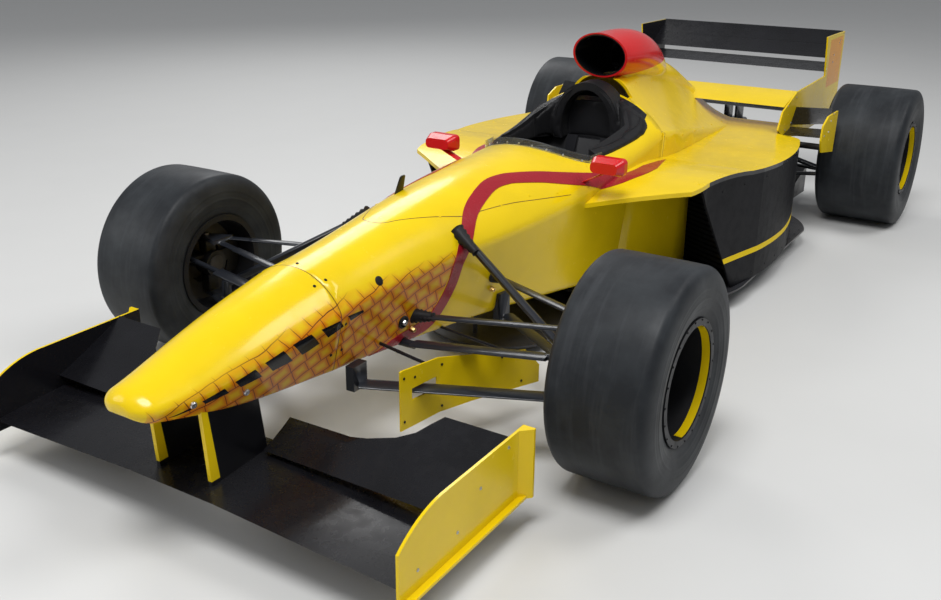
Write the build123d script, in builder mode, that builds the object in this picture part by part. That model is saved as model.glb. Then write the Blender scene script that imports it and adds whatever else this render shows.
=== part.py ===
# Open wheel racing car, a single seater parked on its wheels.
# Millimetres. +X is the car's left, +Z is up and the nose points along -Y.
# The origin lies on the ground, on the centre plane, midway between nose tip and rear wing.
# A station is a distance behind the front axle, so the front axle is at station 0.
import os
from math import cos, radians, sin

from build123d import *

os.makedirs("parts", exist_ok=True)

# Wheels, axles and tyres
wheelbase = 2950
front_track = 1700
rear_track = 1620
front_tyre_radius = 317
front_tyre_width = 300
rear_tyre_radius = 330
rear_tyre_width = 380
front_rim_width = 276
rear_rim_width = 352
rim_seat_radius = 165
rim_flange_radius = 177
rim_flange_thickness = 8
rim_wall = 8
rim_face_thickness = 14
spoke_count = 8
brake_disc_radius = 139
brake_disc_thickness = 28
bell_radius = 85
bell_wall = 7
front_axle_radius = 30
rear_axle_radius = 35
drive_shaft_radius = 16
wheel_nut_radius = 34
running_gap = 0.05        # radial clearance of a shaft in its bore
panel_gap = 0.3           # between curved skins that meet
moving_gap = 5            # between parts that move past each other

# Front steering geometry
kingpin_x = 780
kingpin_pin_radius = 8
upper_joint_height = 410
lower_joint_height = 205
eye_radius = 17
eye_thickness = 14
apex_length = 60          # joint centre to the ends of the legs
apex_half = 45
pushrod_foot_x = 700
pushrod_radius = 13
rod_chord = 52
rod_thickness = 14
rod_radius = 9
leg_neck = 160            # beside the wheel the legs and the rod are narrow
leg_neck_chord = 28
leg_neck_thickness = 9
rod_eye_radius = 16
rod_eye_bore = 10.5       # leaves room for the swing of the steering arm
bearing_radius = 45
arm_thickness = 12
arm_pin_radius = 6
web_thickness = 34
pin_reach = 13
disc_face = -19           # distances along the axle, outwards from the wheel's centre
rim_face = 20
boot_radius = 38
shaft_gap = 12
steering_arm_length = 105
steering_arm_height = 365
rack_station = -120
rack_height = 276
rack_housing_wall = 8
rack_bar_half = 185
rack_radius = 12
rack_housing_half = 110

# Rear suspension
rear_joint_x = 700
rear_upper_height = 430
rear_lower_height = 205
rear_bearing_radius = 52
rear_bearing_length = 90

# Bodywork
nose_tip_station = -1040
nose_dome_station = -1000
nose_joint_station = -430
bulkhead_station = 1450
chassis_wall = 18
skin = 8                  # moulded bodywork panels
plate = 8                 # wing end plates and fences
cockpit_front_station = 950
cockpit_rear_station = 1400
cockpit_front_half = 215
cockpit_front_bow = 130
cockpit_rear_half = 262

# Floor
plank_bottom = 25
plank_thickness = 10
floor_step = 40
floor_thickness = 8
floor_half_width = 690
floor_side_station = 1000
floor_rear_station = wheelbase - 300
splitter_station = 420
splitter_stay_station = 520
splitter_stay = 16
tray_half = 250
plank_half = 150
diffuser_half = 480
diffuser_rear_station = wheelbase + 130
diffuser_height = 195
fence = 6

# Engine and gearbox
engine_front_station = bulkhead_station
engine_length = 640
engine_half = 235
gearbox_half = 95
gearbox_rear_station = wheelbase + 70
crash_rear_station = wheelbase + 430
crash_middle_height = 310

# Front wing
front_wing_half_span = 700
front_wing_nose_station = -920
front_wing_height = 126
front_wing_centre_rise = 22
front_wing_chord = 290
front_flap_chord = 262
front_flap_angle = 24.5
front_flap_station = -700
front_flap_height = 178
endplate_top = 284
endplate_bottom = 88
endplate_front_station = -930
endplate_rear_station = -384
endplate_flange = 36
endplate_foot = 26

trailing_edge = 3
endplate_nose_length = 190
pylon_x = 92
pylon_thickness = 12
vane_thickness = 5
vane_stay = 10

# Airbox and engine cover
airbox_station = 1440
airbox_lip = 12
cover_rear_station = 2610
mid_beam_station = 2420
mid_beam_height = 612
mid_beam_chord = 235
mid_beam_angle = 10

# Cockpit
padding_front_station = 1352
padding_height = 640
padding_top = 828
padding_half = 150
padding_recess = 70
padding_rim = 40
side_pad_bottom = 590
side_pad_width = 62
side_pad_rise = 12
dash_station = 848
dash_thickness = 14
dash_top = 610
dash_height = 180
steering_wheel_station = 1060
steering_wheel_height = 505
steering_wheel_radius = 122
steering_rim_radius = 13
steering_axis_lean = 15
column_radius = 12
boss_length = 40
windscreen_height = 26
windscreen_margin = 12
windscreen_thickness = 3
windscreen_tail = 70
windscreen_flare = 8
mirror_station = 825
mirror_height = 641
mirror_x = 346
mirror_width = 124
mirror_depth = 60

# Sidepods
sidepod_front_station = 790
deck_rear_station = 2600
deck_edge = 16            # depth of the yellow deck at its outer edge
inlet_top_station = 1060
inlet_bottom_station = 1370
duct_wall_station = 1120
duct_wall_half = 425
duct_swell_half = 345
duct_swell_station = 1300
radiator_station = 1500
radiator_thickness = 60

# Rear wing, placed from the rear axle
rear_wing_half_span = 500
rear_wing_top = 860
rear_wing_overhang = 480
fence_x = 696
pillar_x = 34

rear_end_station = wheelbase + rear_wing_overhang
mid_station = (nose_tip_station + rear_end_station) / 2
floor_top = plank_bottom + plank_thickness + floor_step + floor_thickness


def section_plane(station):
    # Across the car: local x is the car's left and local y is up
    return Plane(origin=(0, station - mid_station, 0), x_dir=(1, 0, 0), z_dir=(0, -1, 0))


def side_plane(x, station=0, height=0, angle=0):
    # Along the car: local x runs rearwards, raised by the angle, and local y is up
    lean = radians(angle)
    return Plane(
        origin=(x, station - mid_station, height),
        x_dir=(0, cos(lean), sin(lean)),
        z_dir=(1, 0, 0),
    )


def at(x, station, z):
    return Vector(x, station - mid_station, z)


def export_piece(piece, name):
    piece.part.label = name
    export_step(piece.part, "parts/" + name + ".step")


# The outer form of nose and monocoque, one row for each cross-section
# station, half width at the bottom and at the shoulder, heights of bottom, shoulder and top,
# and the radii of the bottom and shoulder corners
hull_rows = (
    (nose_tip_station, 24, 34, 402, 412, 424, 4, 8),
    (-1030, 50, 64, 391, 409, 439, 9, 15),
    (nose_dome_station, 72, 92, 378, 410, 454, 16, 26),
    (-860, 96, 122, 348, 415, 486, 20, 38),
    (-720, 106, 142, 322, 432, 522, 22, 44),
    (-575, 116, 157, 306, 450, 553, 24, 50),
    (nose_joint_station, 128, 170, 294, 470, 580, 24, 55),
    (150, 172, 210, 246, 500, 645, 30, 65),
    (550, 220, 262, 204, 520, 671, 34, 70),
    (950, 252, 288, 145, 560, 680, 36, 70),
    (bulkhead_station, 272, 300, floor_top, 640, 790, 36, 70),
)


def hull_form(rows, grow=0):
    # Flat bottom, leaning sides and a crowned top with rounded shoulders
    with BuildPart() as form:
        for station, half_bottom, half_side, bottom, side, top, low_round, high_round in rows:
            with BuildSketch(section_plane(station)):
                with BuildLine():
                    base = Line((-half_bottom - grow, bottom - grow), (half_bottom + grow, bottom - grow))
                    flank = Line(base @ 1, (half_side + grow, side))
                    crown = ThreePointArc(flank @ 1, (0, top + grow), (-half_side - grow, side))
                    Line(crown @ 1, base @ 0)
                make_face()
                fillet(vertices().group_by(Axis.Y)[0], low_round + grow * 0.5)
                fillet(vertices().group_by(Axis.Y)[-1], high_round + grow * 0.5)
        loft()
    return form.part


dome_rows = [row for row in hull_rows if row[0] <= nose_dome_station]
nose_rows = [row for row in hull_rows if nose_dome_station <= row[0] <= nose_joint_station]
tub_rows = [row for row in hull_rows if row[0] >= nose_joint_station]
tub = hull_form(tub_rows)
tub_clear = hull_form(tub_rows, panel_gap)
tub_inside = hull_form(tub_rows, -chassis_wall)


# Nose cone: the hull ahead of the joint
with BuildPart() as nose_cone:
    add(hull_form(nose_rows))
    add(hull_form(dome_rows))
export_piece(nose_cone, "nose_cone")

# The room inside the monocoque, between the front and rear bulkheads
with BuildPart() as cabin:
    add(tub_inside)
    split(bisect_by=section_plane(nose_joint_station + chassis_wall), keep=Keep.BOTTOM)
    split(bisect_by=section_plane(bulkhead_station - chassis_wall), keep=Keep.TOP)

# Monocoque: hollow from the pedals to the seat back, open at the cockpit
with BuildPart() as monocoque:
    add(tub)
    add(cabin.part, mode=Mode.SUBTRACT)
    with BuildSketch(Plane.XY.offset(500)) as opening:
        with BuildLine():
            front = ThreePointArc(
                at(-cockpit_front_half, cockpit_front_station, 0),
                at(0, cockpit_front_station - cockpit_front_bow, 0),
                at(cockpit_front_half, cockpit_front_station, 0),
            )
            left = Line(front @ 1, at(cockpit_rear_half, cockpit_rear_station, 0))
            back = Line(left @ 1, at(-cockpit_rear_half, cockpit_rear_station, 0))
            Line(back @ 1, front @ 0)
        make_face()
        fillet(vertices().group_by(Axis.Y)[-1], 60)
    extrude(amount=400, mode=Mode.SUBTRACT)
    # seat of the steering rack's housing, and the passage of its bar on both sides
    with BuildSketch(side_plane(0, rack_station, rack_height)):
        Circle(rack_radius + rack_housing_wall + panel_gap)
    extrude(amount=rack_housing_half + panel_gap, both=True, mode=Mode.SUBTRACT)
    with BuildSketch(side_plane(0, rack_station, rack_height)):
        Circle(rack_radius + moving_gap)
    extrude(amount=300, both=True, mode=Mode.SUBTRACT)
export_piece(monocoque, "monocoque")



def wing_profile(chord, thickness, bow):
    # Nose at the local origin and tail at the chord's end; the bow hangs below the chord line
    with BuildSketch() as profile:
        with BuildLine():
            under = ThreePointArc((0, 0), (0.42 * chord, -bow - thickness / 2), (chord, -trailing_edge))
            tail = Line(under @ 1, (chord, 0))
            ThreePointArc(tail @ 1, (0.45 * chord, thickness / 2 - bow), (0, 0))
        make_face()
    return profile.sketch


def strut(start, end, chord, thickness):
    # A streamlined leg between two points, its chord lying level
    run = end - start
    across = run.cross(Vector(0, 0, 1)) if abs(run.Z) < 0.9 * run.length else Vector(1, 0, 0)
    with BuildPart() as leg:
        with BuildSketch(Plane(origin=start, x_dir=across, z_dir=run)):
            Ellipse(chord / 2, thickness / 2)
        extrude(amount=run.length)
    return leg.part


def side_outline(points, x, thickness):
    # An upright plate: the points are station and height
    with BuildPart() as outline:
        with BuildSketch(side_plane(x)):
            with BuildLine():
                Polyline(*points, close=True)
            make_face()
        extrude(amount=thickness)
    return outline.part


# Front wing: a low main plane, raised a little in the middle, and two flaps cut back near the nose
with BuildPart() as front_wing:
    for x, rise in (
        (-front_wing_half_span, 0),
        (-150, front_wing_centre_rise),
        (150, front_wing_centre_rise),
        (front_wing_half_span, 0),
    ):
        with BuildSketch(side_plane(x, front_wing_nose_station, front_wing_height + rise, 4)):
            add(wing_profile(front_wing_chord, 26, 12))
    loft(ruled=True)
with BuildPart() as front_flap:
    # distance from the centre plane and share of the chord: the rear edge sweeps forward to the nose
    for x, share in ((112, 0.45), (313, 0.46), (358, 0.50), (430, 0.61), (471, 0.73), (497, 0.89),
                     (517, 1), (front_wing_half_span, 1)):
        chord = front_flap_chord * share
        with BuildSketch(side_plane(x, front_flap_station, front_flap_height, front_flap_angle)):
            add(wing_profile(chord, 14, 10))
    loft(ruled=True)
with BuildPart() as front_wing_set:
    add(front_wing.part)
    add(front_flap.part)
    add(mirror(front_flap.part, about=Plane.YZ))
export_piece(front_wing_set, "front_wing")

# End plates with a rounded front, a flared rear edge and a foot along the bottom
endplate_length = endplate_rear_station - endplate_front_station
endplate_height = endplate_top - endplate_bottom
with BuildPart() as front_endplates:
    with BuildSketch(side_plane(front_wing_half_span, endplate_front_station, endplate_bottom)):
        with BuildLine():
            foot = Line((0, 0), (endplate_length, 0))
            rear = Line(foot @ 1, (endplate_length, endplate_height))
            top = Line(rear @ 1, (endplate_nose_length, endplate_height))
            nose = ThreePointArc(
                top @ 1,
                (0.4 * endplate_nose_length, 0.9 * endplate_height),
                (0, 0.68 * endplate_height),
            )
            Line(nose @ 1, foot @ 0)
        make_face()
    extrude(amount=plate)
    with BuildSketch(Plane.XY.offset(endplate_bottom)):
        with BuildLine():
            Polyline(
                at(front_wing_half_span, endplate_rear_station - endplate_flange, 0),
                at(front_wing_half_span + plate, endplate_rear_station - endplate_flange, 0),
                at(front_wing_half_span + endplate_flange, endplate_rear_station - plate, 0),
                at(front_wing_half_span + endplate_flange, endplate_rear_station, 0),
                at(front_wing_half_span, endplate_rear_station, 0),
                close=True,
            )
        make_face()
    extrude(amount=endplate_height)
    with BuildSketch(side_plane(front_wing_half_span, endplate_front_station, endplate_bottom)):
        with Locations((endplate_length / 2, plate / 2)):
            Rectangle(endplate_length, plate)
    extrude(amount=endplate_foot)
    mirror(about=Plane.YZ)
export_piece(front_endplates, "front_endplates")

# Two pylons hold the main plane under the nose
with BuildPart() as nose_pylons:
    for x in (pylon_x, -pylon_x):
        add(side_outline(((-885, 400), (-700, 400), (-668, 158), (-868, 146)),
                         x - pylon_thickness / 2, pylon_thickness))
    add(nose_cone.part, mode=Mode.SUBTRACT)
    add(front_wing_set.part, mode=Mode.SUBTRACT)
export_piece(nose_pylons, "nose_pylons")

# Turning vanes between the front wheels and the tub, bent once and slotted for the lower leg
with BuildPart() as bargeboard:
    with BuildSketch(Plane.XY):
        with BuildLine():
            Polyline(
                at(300, -360, 0), at(322, -200, 0), at(450, 158, 0),
                at(450 + vane_thickness, 158, 0), at(322 + vane_thickness, -202, 0),
                at(300 + vane_thickness, -360, 0),
                close=True,
            )
        make_face()
    extrude(amount=500)
    add(side_outline(((-360, 133), (-90, 131), (165, 116), (165, 166), (105, 238),
                      (-205, 304), (-352, 315), (-360, 313)), 250, 300), mode=Mode.INTERSECT)
    add(side_outline(((-315, 213), (-212, 213), (-212, 249), (-315, 249)), 250, 300), mode=Mode.SUBTRACT)
    # two stays to the tub's lower edge
    for station, outer_x, height in ((-230, 320, 285), (60, 417, 238)):
        add(strut(at(outer_x, station, height), at(120, station, height + 30), vane_stay, vane_stay))
    add(tub, mode=Mode.SUBTRACT)


def both_sides(piece):
    # A left-hand piece and its mirror image in one node
    with BuildPart() as pair:
        add(piece)
        add(mirror(piece, about=Plane.YZ))
    return pair


bargeboards = both_sides(bargeboard.part)
export_piece(bargeboards, "bargeboards")

# Engine cover: the tub's lines carried rearwards under a bell that narrows to a spine
# station, half width and height at the foot, waist and neck, height of the spine
cover_rows = (
    (bulkhead_station, 272, floor_top, 300, 640, 118, 800, 850),
    (1800, 272, floor_top, 290, 590, 85, 780, 855),
    (2117, 262, floor_top, 262, 535, 55, 735, 824),
    (2414, 225, 110, 250, 500, 42, 645, 712),
    (cover_rear_station, 190, 150, 230, 492, 40, 575, 622),
)


def bell_form(inset=0):
    with BuildPart() as form:
        for station, half_foot, foot, half_waist, waist, half_neck, neck, top in cover_rows:
            with BuildSketch(section_plane(station)):
                with BuildLine():
                    base = Line((0, foot - abs(inset)), (half_foot - inset, foot - abs(inset)))
                    flank = Line(base @ 1, (half_waist - inset, waist))
                    sweep = ThreePointArc(
                        flank @ 1,
                        (0.45 * half_waist + 0.55 * half_neck - inset, 0.62 * waist + 0.38 * neck - inset),
                        (half_neck - inset, neck - inset),
                    )
                    ThreePointArc(sweep @ 1, (0.6 * (half_neck - inset), 0.3 * neck + 0.7 * top - inset),
                                  (0, top - inset))
                    mirror(about=Plane.YZ)
                make_face()
        loft()
    return form.part


# Airbox: an oval intake that tapers into the spine
# station, centre height, half width, half height
airbox_rows = (
    (airbox_station, 925, 118, 88),
    (1600, 912, 128, 98),
    (1780, 888, 116, 102),
    (1950, 840, 84, 78),
    (2080, 800, 45, 35),
)


def airbox_form(rows, inset=0):
    with BuildPart() as form:
        for station, height, half_width, half_height in rows:
            with BuildSketch(section_plane(station)):
                with Locations((0, height)):
                    Ellipse(half_width - inset, half_height - inset)
        loft()
    return form.part


airbox_outer = airbox_form(airbox_rows)
airbox_duct = airbox_form(airbox_rows[:3], airbox_lip)
with BuildPart() as above_joint:
    add(side_outline(((1300, 820), (2200, 868), (2200, 1100), (1300, 1100)), -300, 600))
# the mouth leans forward at its top
with BuildPart() as mouth_cut:
    add(side_outline(((1300, 760), (1494, 760), (1430, 1060), (1300, 1060)), -300, 600))
with BuildPart() as airbox:
    add(airbox_outer)
    add(airbox_duct, mode=Mode.SUBTRACT)
    add(above_joint.part, mode=Mode.INTERSECT)
    add(mouth_cut.part, mode=Mode.SUBTRACT)
export_piece(airbox, "airbox")
with BuildPart() as mid_beam:
    with BuildSketch(side_plane(-rear_wing_half_span, mid_beam_station, mid_beam_height, mid_beam_angle)):
        add(wing_profile(mid_beam_chord, 26, 8))
    extrude(amount=2 * rear_wing_half_span)
export_piece(mid_beam, "mid_beam")
with BuildPart() as engine_cover:
    add(bell_form())
    add(airbox_outer)
    add(bell_form(skin), mode=Mode.SUBTRACT)
    add(airbox_duct, mode=Mode.SUBTRACT)
    add(above_joint.part, mode=Mode.SUBTRACT)
    add(mouth_cut.part, mode=Mode.SUBTRACT)
    add(mid_beam.part, mode=Mode.SUBTRACT)
    split(bisect_by=Plane.XY.offset(floor_top), keep=Keep.TOP)
export_piece(engine_cover, "engine_cover")


# Sidepods: the deck seen from above, swept out from the tub and drawn in again to the tail.
# Each arc passes one place and ends at the next. A place has its distance from the centre plane,
# its station and its lean: the share of an inset that moves it along the car.
deck_corner = (592, 1012, 1)
deck_outline = [
    ((606, 1058, 1), (612, 1120, 0)),
    ((650, 1330, 0), (691, 1540, 0)),
    ((706, 1770, 0), (640, 2230, 0)),
    ((615, 2290, -1), (560, 2325, -1)),
    ((360, 2440, 0), (250, deck_rear_station, 0)),
]
# the deck's crown in side view, as station and height
deck_crown = [(700, 470), (1090, 553), (1450, 541), (1880, 518), (2290, 503)]
deck_tail_height = 500
pod_root = 200


def crown_line(depth, last_station):
    # closed side view of all that lies the given depth under the crown
    start, swell, middle, slope, end = [(station, height - depth) for station, height in deck_crown]
    rise = ThreePointArc(start, swell, middle)
    fall = ThreePointArc(rise @ 1, slope, end)
    Polyline(fall @ 1, (last_station, deck_tail_height - depth), (last_station, 0), (start[0], 0), rise @ 0)


def pod_form(inset=0):
    def place(half, station, lean):
        return at(half - inset, station + lean * inset, 0)

    with BuildPart() as form:
        with BuildSketch(Plane.XY.offset(floor_top)):
            with BuildLine():
                lead = Line(at(pod_root, sidepod_front_station - 40 + inset, 0), place(*deck_corner))
                edge = lead
                for passed, end in deck_outline:
                    edge = ThreePointArc(edge @ 1, place(*passed), place(*end))
                back = Line(edge @ 1, at(pod_root / 2, deck_rear_station, 0))
                inner = Line(back @ 1, at(pod_root / 2, sidepod_front_station - 40 + inset, 0))
                Line(inner @ 1, lead @ 0)
            make_face()
        extrude(amount=600)
        with BuildSketch(side_plane(0)):
            with BuildLine():
                crown_line(inset, deck_rear_station)
            make_face()
        extrude(amount=900, mode=Mode.INTERSECT)
    return form.part


def under_deck(depth):
    # everything more than the given depth below the deck, in side view
    with BuildPart() as form:
        with BuildSketch(side_plane(0)):
            with BuildLine():
                crown_line(depth, 3000)
            make_face()
        extrude(amount=900)
    return form.part


bell_clear = bell_form(-panel_gap)
below_deck = under_deck(deck_edge)
with BuildPart() as pod_shell:
    add(pod_form())
    add(pod_form(skin), mode=Mode.SUBTRACT)
    add(tub_clear, mode=Mode.SUBTRACT)
    add(bell_clear, mode=Mode.SUBTRACT)
# The deck runs on level between the rear end plates
with BuildPart() as tail_deck:
    with BuildSketch(Plane.XY.offset(floor_top)):
        with BuildLine():
            Polyline(
                at(200, 2250, 0), at(590, 2250, 0), at(560, 2320, 0),
                at(rear_wing_half_span, 2350, 0), at(rear_wing_half_span, 2480, 0),
                at(rear_wing_half_span - 40, deck_rear_station, 0), at(200, deck_rear_station, 0),
                close=True,
            )
        make_face()
    extrude(amount=600)
    add(under_deck(0), mode=Mode.INTERSECT)
    add(under_deck(skin), mode=Mode.SUBTRACT)
    add(bell_clear, mode=Mode.SUBTRACT)
# The inner wall of each duct swells out from the tub under the deck
with BuildPart() as duct_wall:
    for wall in (0, skin):
        with BuildSketch(Plane.XY.offset(floor_top)):
            with BuildLine():
                lead = Line(at(200, duct_wall_station, 0), at(262 - wall, duct_wall_station, 0))
                swell = ThreePointArc(lead @ 1, at(duct_swell_half - wall, duct_swell_station + wall, 0),
                                      at(duct_wall_half - wall, bulkhead_station, 0))
                Polyline(swell @ 1, at(200, bulkhead_station, 0), lead @ 0)
            make_face()
        extrude(amount=600, mode=Mode.SUBTRACT if wall else Mode.ADD)
    add(under_deck(skin), mode=Mode.INTERSECT)
    add(tub_clear, mode=Mode.SUBTRACT)
    add(bell_clear, mode=Mode.SUBTRACT)
with BuildPart() as sidepod_deck:
    add(pod_shell.part)
    add(below_deck, mode=Mode.SUBTRACT)
    add(tail_deck.part)
    add(duct_wall.part)
with BuildPart() as sidepod_flank:
    add(pod_shell.part)
    add(below_deck, mode=Mode.INTERSECT)
    # the mouth's raked leading edge
    add(side_outline(((600, 0), (inlet_bottom_station, 0), (inlet_bottom_station, floor_top),
                      (inlet_top_station, 560), (600, 560)), 0, 900), mode=Mode.SUBTRACT)

sidepod_decks = both_sides(sidepod_deck.part)
export_piece(sidepod_decks, "sidepod_decks")
sidepod_flanks = both_sides(sidepod_flank.part)
export_piece(sidepod_flanks, "sidepod_flanks")

# Engine, a plain block on the floor
with BuildPart() as engine_block:
    with BuildSketch(section_plane(engine_front_station)):
        with BuildLine():
            Polyline((-engine_half, floor_top), (engine_half, floor_top), (engine_half, 420),
                     (0.45 * engine_half, 470), (-0.45 * engine_half, 470), (-engine_half, 420), close=True)
        make_face()
    extrude(amount=-engine_length)
export_piece(engine_block, "engine_block")

# Radiators, standing slanted across each duct
with BuildPart() as radiator:
    with BuildSketch(Plane.XY.offset(floor_top)):
        with BuildLine():
            Polyline(
                at(200, radiator_station + 250, 0), at(640, radiator_station, 0),
                at(640, radiator_station + radiator_thickness, 0),
                at(200, radiator_station + 250 + radiator_thickness, 0),
                close=True,
            )
        make_face()
    extrude(amount=600)
    add(pod_form(skin + panel_gap), mode=Mode.INTERSECT)
    add(tub_clear, mode=Mode.SUBTRACT)
    add(bell_clear, mode=Mode.SUBTRACT)
    add(engine_block.part, mode=Mode.SUBTRACT)
radiators = both_sides(radiator.part)
export_piece(radiators, "radiators")

# Floor: a stepped plate, its middle tray lower than its sides, with the plank under it
with BuildPart() as floor_panel:
    with BuildSketch(Plane.XY.offset(floor_top - floor_thickness)):
        with BuildLine():
            front = Line(at(0, floor_side_station, 0), at(tray_half, floor_side_station, 0))
            sweep = ThreePointArc(front @ 1, at(600, 1180, 0), at(floor_half_width, 1420, 0))
            edge = Line(sweep @ 1, at(floor_half_width, 2300, 0))
            heel = ThreePointArc(edge @ 1, at(600, 2470, 0), at(diffuser_half, 2560, 0))
            back = Line(heel @ 1, at(diffuser_half, floor_rear_station, 0))
            Line(back @ 1, at(0, floor_rear_station, 0))
            mirror(about=Plane.YZ)
        make_face()
    extrude(amount=floor_thickness)
    # the middle tray reaches forward under the tub as a splitter
    tray_bottom = plank_bottom + plank_thickness
    with BuildSketch(Plane.XY.offset(tray_bottom)):
        with BuildLine():
            nose = ThreePointArc(
                at(-tray_half, splitter_station + 150, 0),
                at(0, splitter_station, 0),
                at(tray_half, splitter_station + 150, 0),
            )
            Polyline(nose @ 1, at(tray_half, floor_rear_station, 0), at(-tray_half, floor_rear_station, 0),
                     nose @ 0)
        make_face()
    extrude(amount=floor_thickness)
    for x in (-tray_half, tray_half - floor_thickness):
        with BuildSketch(side_plane(x)):
            Polygon((floor_side_station, tray_bottom), (floor_rear_station, tray_bottom),
                    (floor_rear_station, floor_top), (floor_side_station, floor_top), align=None)
        extrude(amount=floor_thickness)
    # the splitter hangs from the tub on one stay
    add(strut(at(0, splitter_stay_station, tray_bottom + 4), at(0, splitter_stay_station, 240),
              splitter_stay, splitter_stay))
    add(tub, mode=Mode.SUBTRACT)
export_piece(floor_panel, "floor")

with BuildPart() as plank:
    with BuildSketch(Plane.XY.offset(plank_bottom)):
        with BuildLine():
            nose = ThreePointArc(at(-plank_half, splitter_station + 90, 0), at(0, splitter_station + 40, 0),
                                 at(plank_half, splitter_station + 90, 0))
            Polyline(nose @ 1, at(plank_half, floor_rear_station - 10, 0),
                     at(-plank_half, floor_rear_station - 10, 0), nose @ 0)
        make_face()
    extrude(amount=plank_thickness)
export_piece(plank, "plank")

# Diffuser: a ramp behind the floor with upright fences
with BuildPart() as diffuser:
    add(side_outline(((floor_rear_station, floor_top - floor_thickness), (floor_rear_station, floor_top),
                      (diffuser_rear_station, diffuser_height),
                      (diffuser_rear_station, diffuser_height - floor_thickness)),
                     -diffuser_half, 2 * diffuser_half))
    for x in (-diffuser_half, -0.62 * diffuser_half, -0.3 * diffuser_half,
              0.3 * diffuser_half, 0.62 * diffuser_half, diffuser_half - fence):
        add(side_outline(((floor_rear_station, floor_top - floor_thickness), (floor_rear_station, floor_top),
                          (diffuser_rear_station, diffuser_height),
                          (diffuser_rear_station, tray_bottom + 20)), x, fence))
export_piece(diffuser, "diffuser")

# Gearbox and the crash structure behind it
gearbox_front_station = engine_front_station + engine_length
with BuildPart() as gearbox:
    for station, half_width, low, high in (
        (gearbox_front_station, 150, 130, 400),
        (wheelbase - 150, gearbox_half, 200, 380),
        (gearbox_rear_station, gearbox_half - 10, 215, 380),
    ):
        with BuildSketch(section_plane(station)):
            with Locations((0, (low + high) / 2)):
                RectangleRounded(2 * half_width, high - low, 20)
    loft(ruled=True)
    with BuildSketch(section_plane(gearbox_rear_station)):
        with Locations((0, 305)):
            RectangleRounded(130, 120, 18)
    with BuildSketch(section_plane(crash_rear_station)):
        with Locations((0, crash_middle_height)):
            RectangleRounded(90, 90, 14)
    loft(ruled=True)
export_piece(gearbox, "gearbox")

with BuildPart() as rain_light:
    with BuildSketch(section_plane(crash_rear_station)):
        with Locations((0, crash_middle_height)):
            RectangleRounded(70, 70, 8)
    extrude(amount=-18)
export_piece(rain_light, "rain_light")

# Rear wing: three upper elements and a lower beam on two pillars
with BuildPart() as rear_wing:
    for station, height, chord, angle in (
        (3095, 690, 175, 8),
        (3215, 742, 140, 28),
        (3325, 800, 110, 35),
        (3150, 455, 250, 8),
    ):
        with BuildSketch(side_plane(-rear_wing_half_span, station, height, angle)):
            add(wing_profile(chord, 16, 10))
        extrude(amount=2 * rear_wing_half_span)
    for x in (-pillar_x, pillar_x - plate):
        add(side_outline(((3200, 300), (3330, 300), (3330, 475), (3200, 462)), x, plate))
    add(gearbox.part, mode=Mode.SUBTRACT)
with BuildPart() as side_elements:
    # two small elements outboard of each end plate, ahead of the rear tyres:
    # station, height, chord and angle at the end plate, then the same at the fence
    for inner, outer in (
        ((2430, 482, 125, 8), (2370, 500, 125, 8)),
        ((2540, 510, 105, 45), (2470, 548, 90, 42)),
    ):
        for x, (station, height, chord, angle) in ((rear_wing_half_span + plate, inner), (fence_x, outer)):
            with BuildSketch(side_plane(x, station, height, angle)):
                add(wing_profile(chord, 10, 6))
        loft(ruled=True)
with BuildPart() as rear_wing_set:
    add(rear_wing.part)
    add(side_elements.part)
    add(mirror(side_elements.part, about=Plane.YZ))
export_piece(rear_wing_set, "rear_wing")

# Rear end plates, and the fences that carry the small outer elements
with BuildPart() as rear_endplate:
    add(side_outline(
        ((3075, rear_wing_top + 5), (rear_end_station, rear_wing_top), (rear_end_station - 10, 430),
         (2700, 430), (2420, 470), (2342, 519), (2392, 594), (2598, 656), (3110, 664)),
        rear_wing_half_span, plate))
    add(side_outline(((2385, 431), (2600, 395), (2618, 586), (2445, 588), (2362, 556), (2350, 490)),
                     fence_x, plate))
rear_endplates = both_sides(rear_endplate.part)
export_piece(rear_endplates, "rear_endplates")


# Suspension: one row per leg with inner end, outer end, chord and thickness
def tube(start, end, radius):
    with BuildPart() as rod:
        with BuildSketch(Plane(origin=start, z_dir=end - start)):
            Circle(radius)
        extrude(amount=(end - start).length)
    return rod.part


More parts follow.
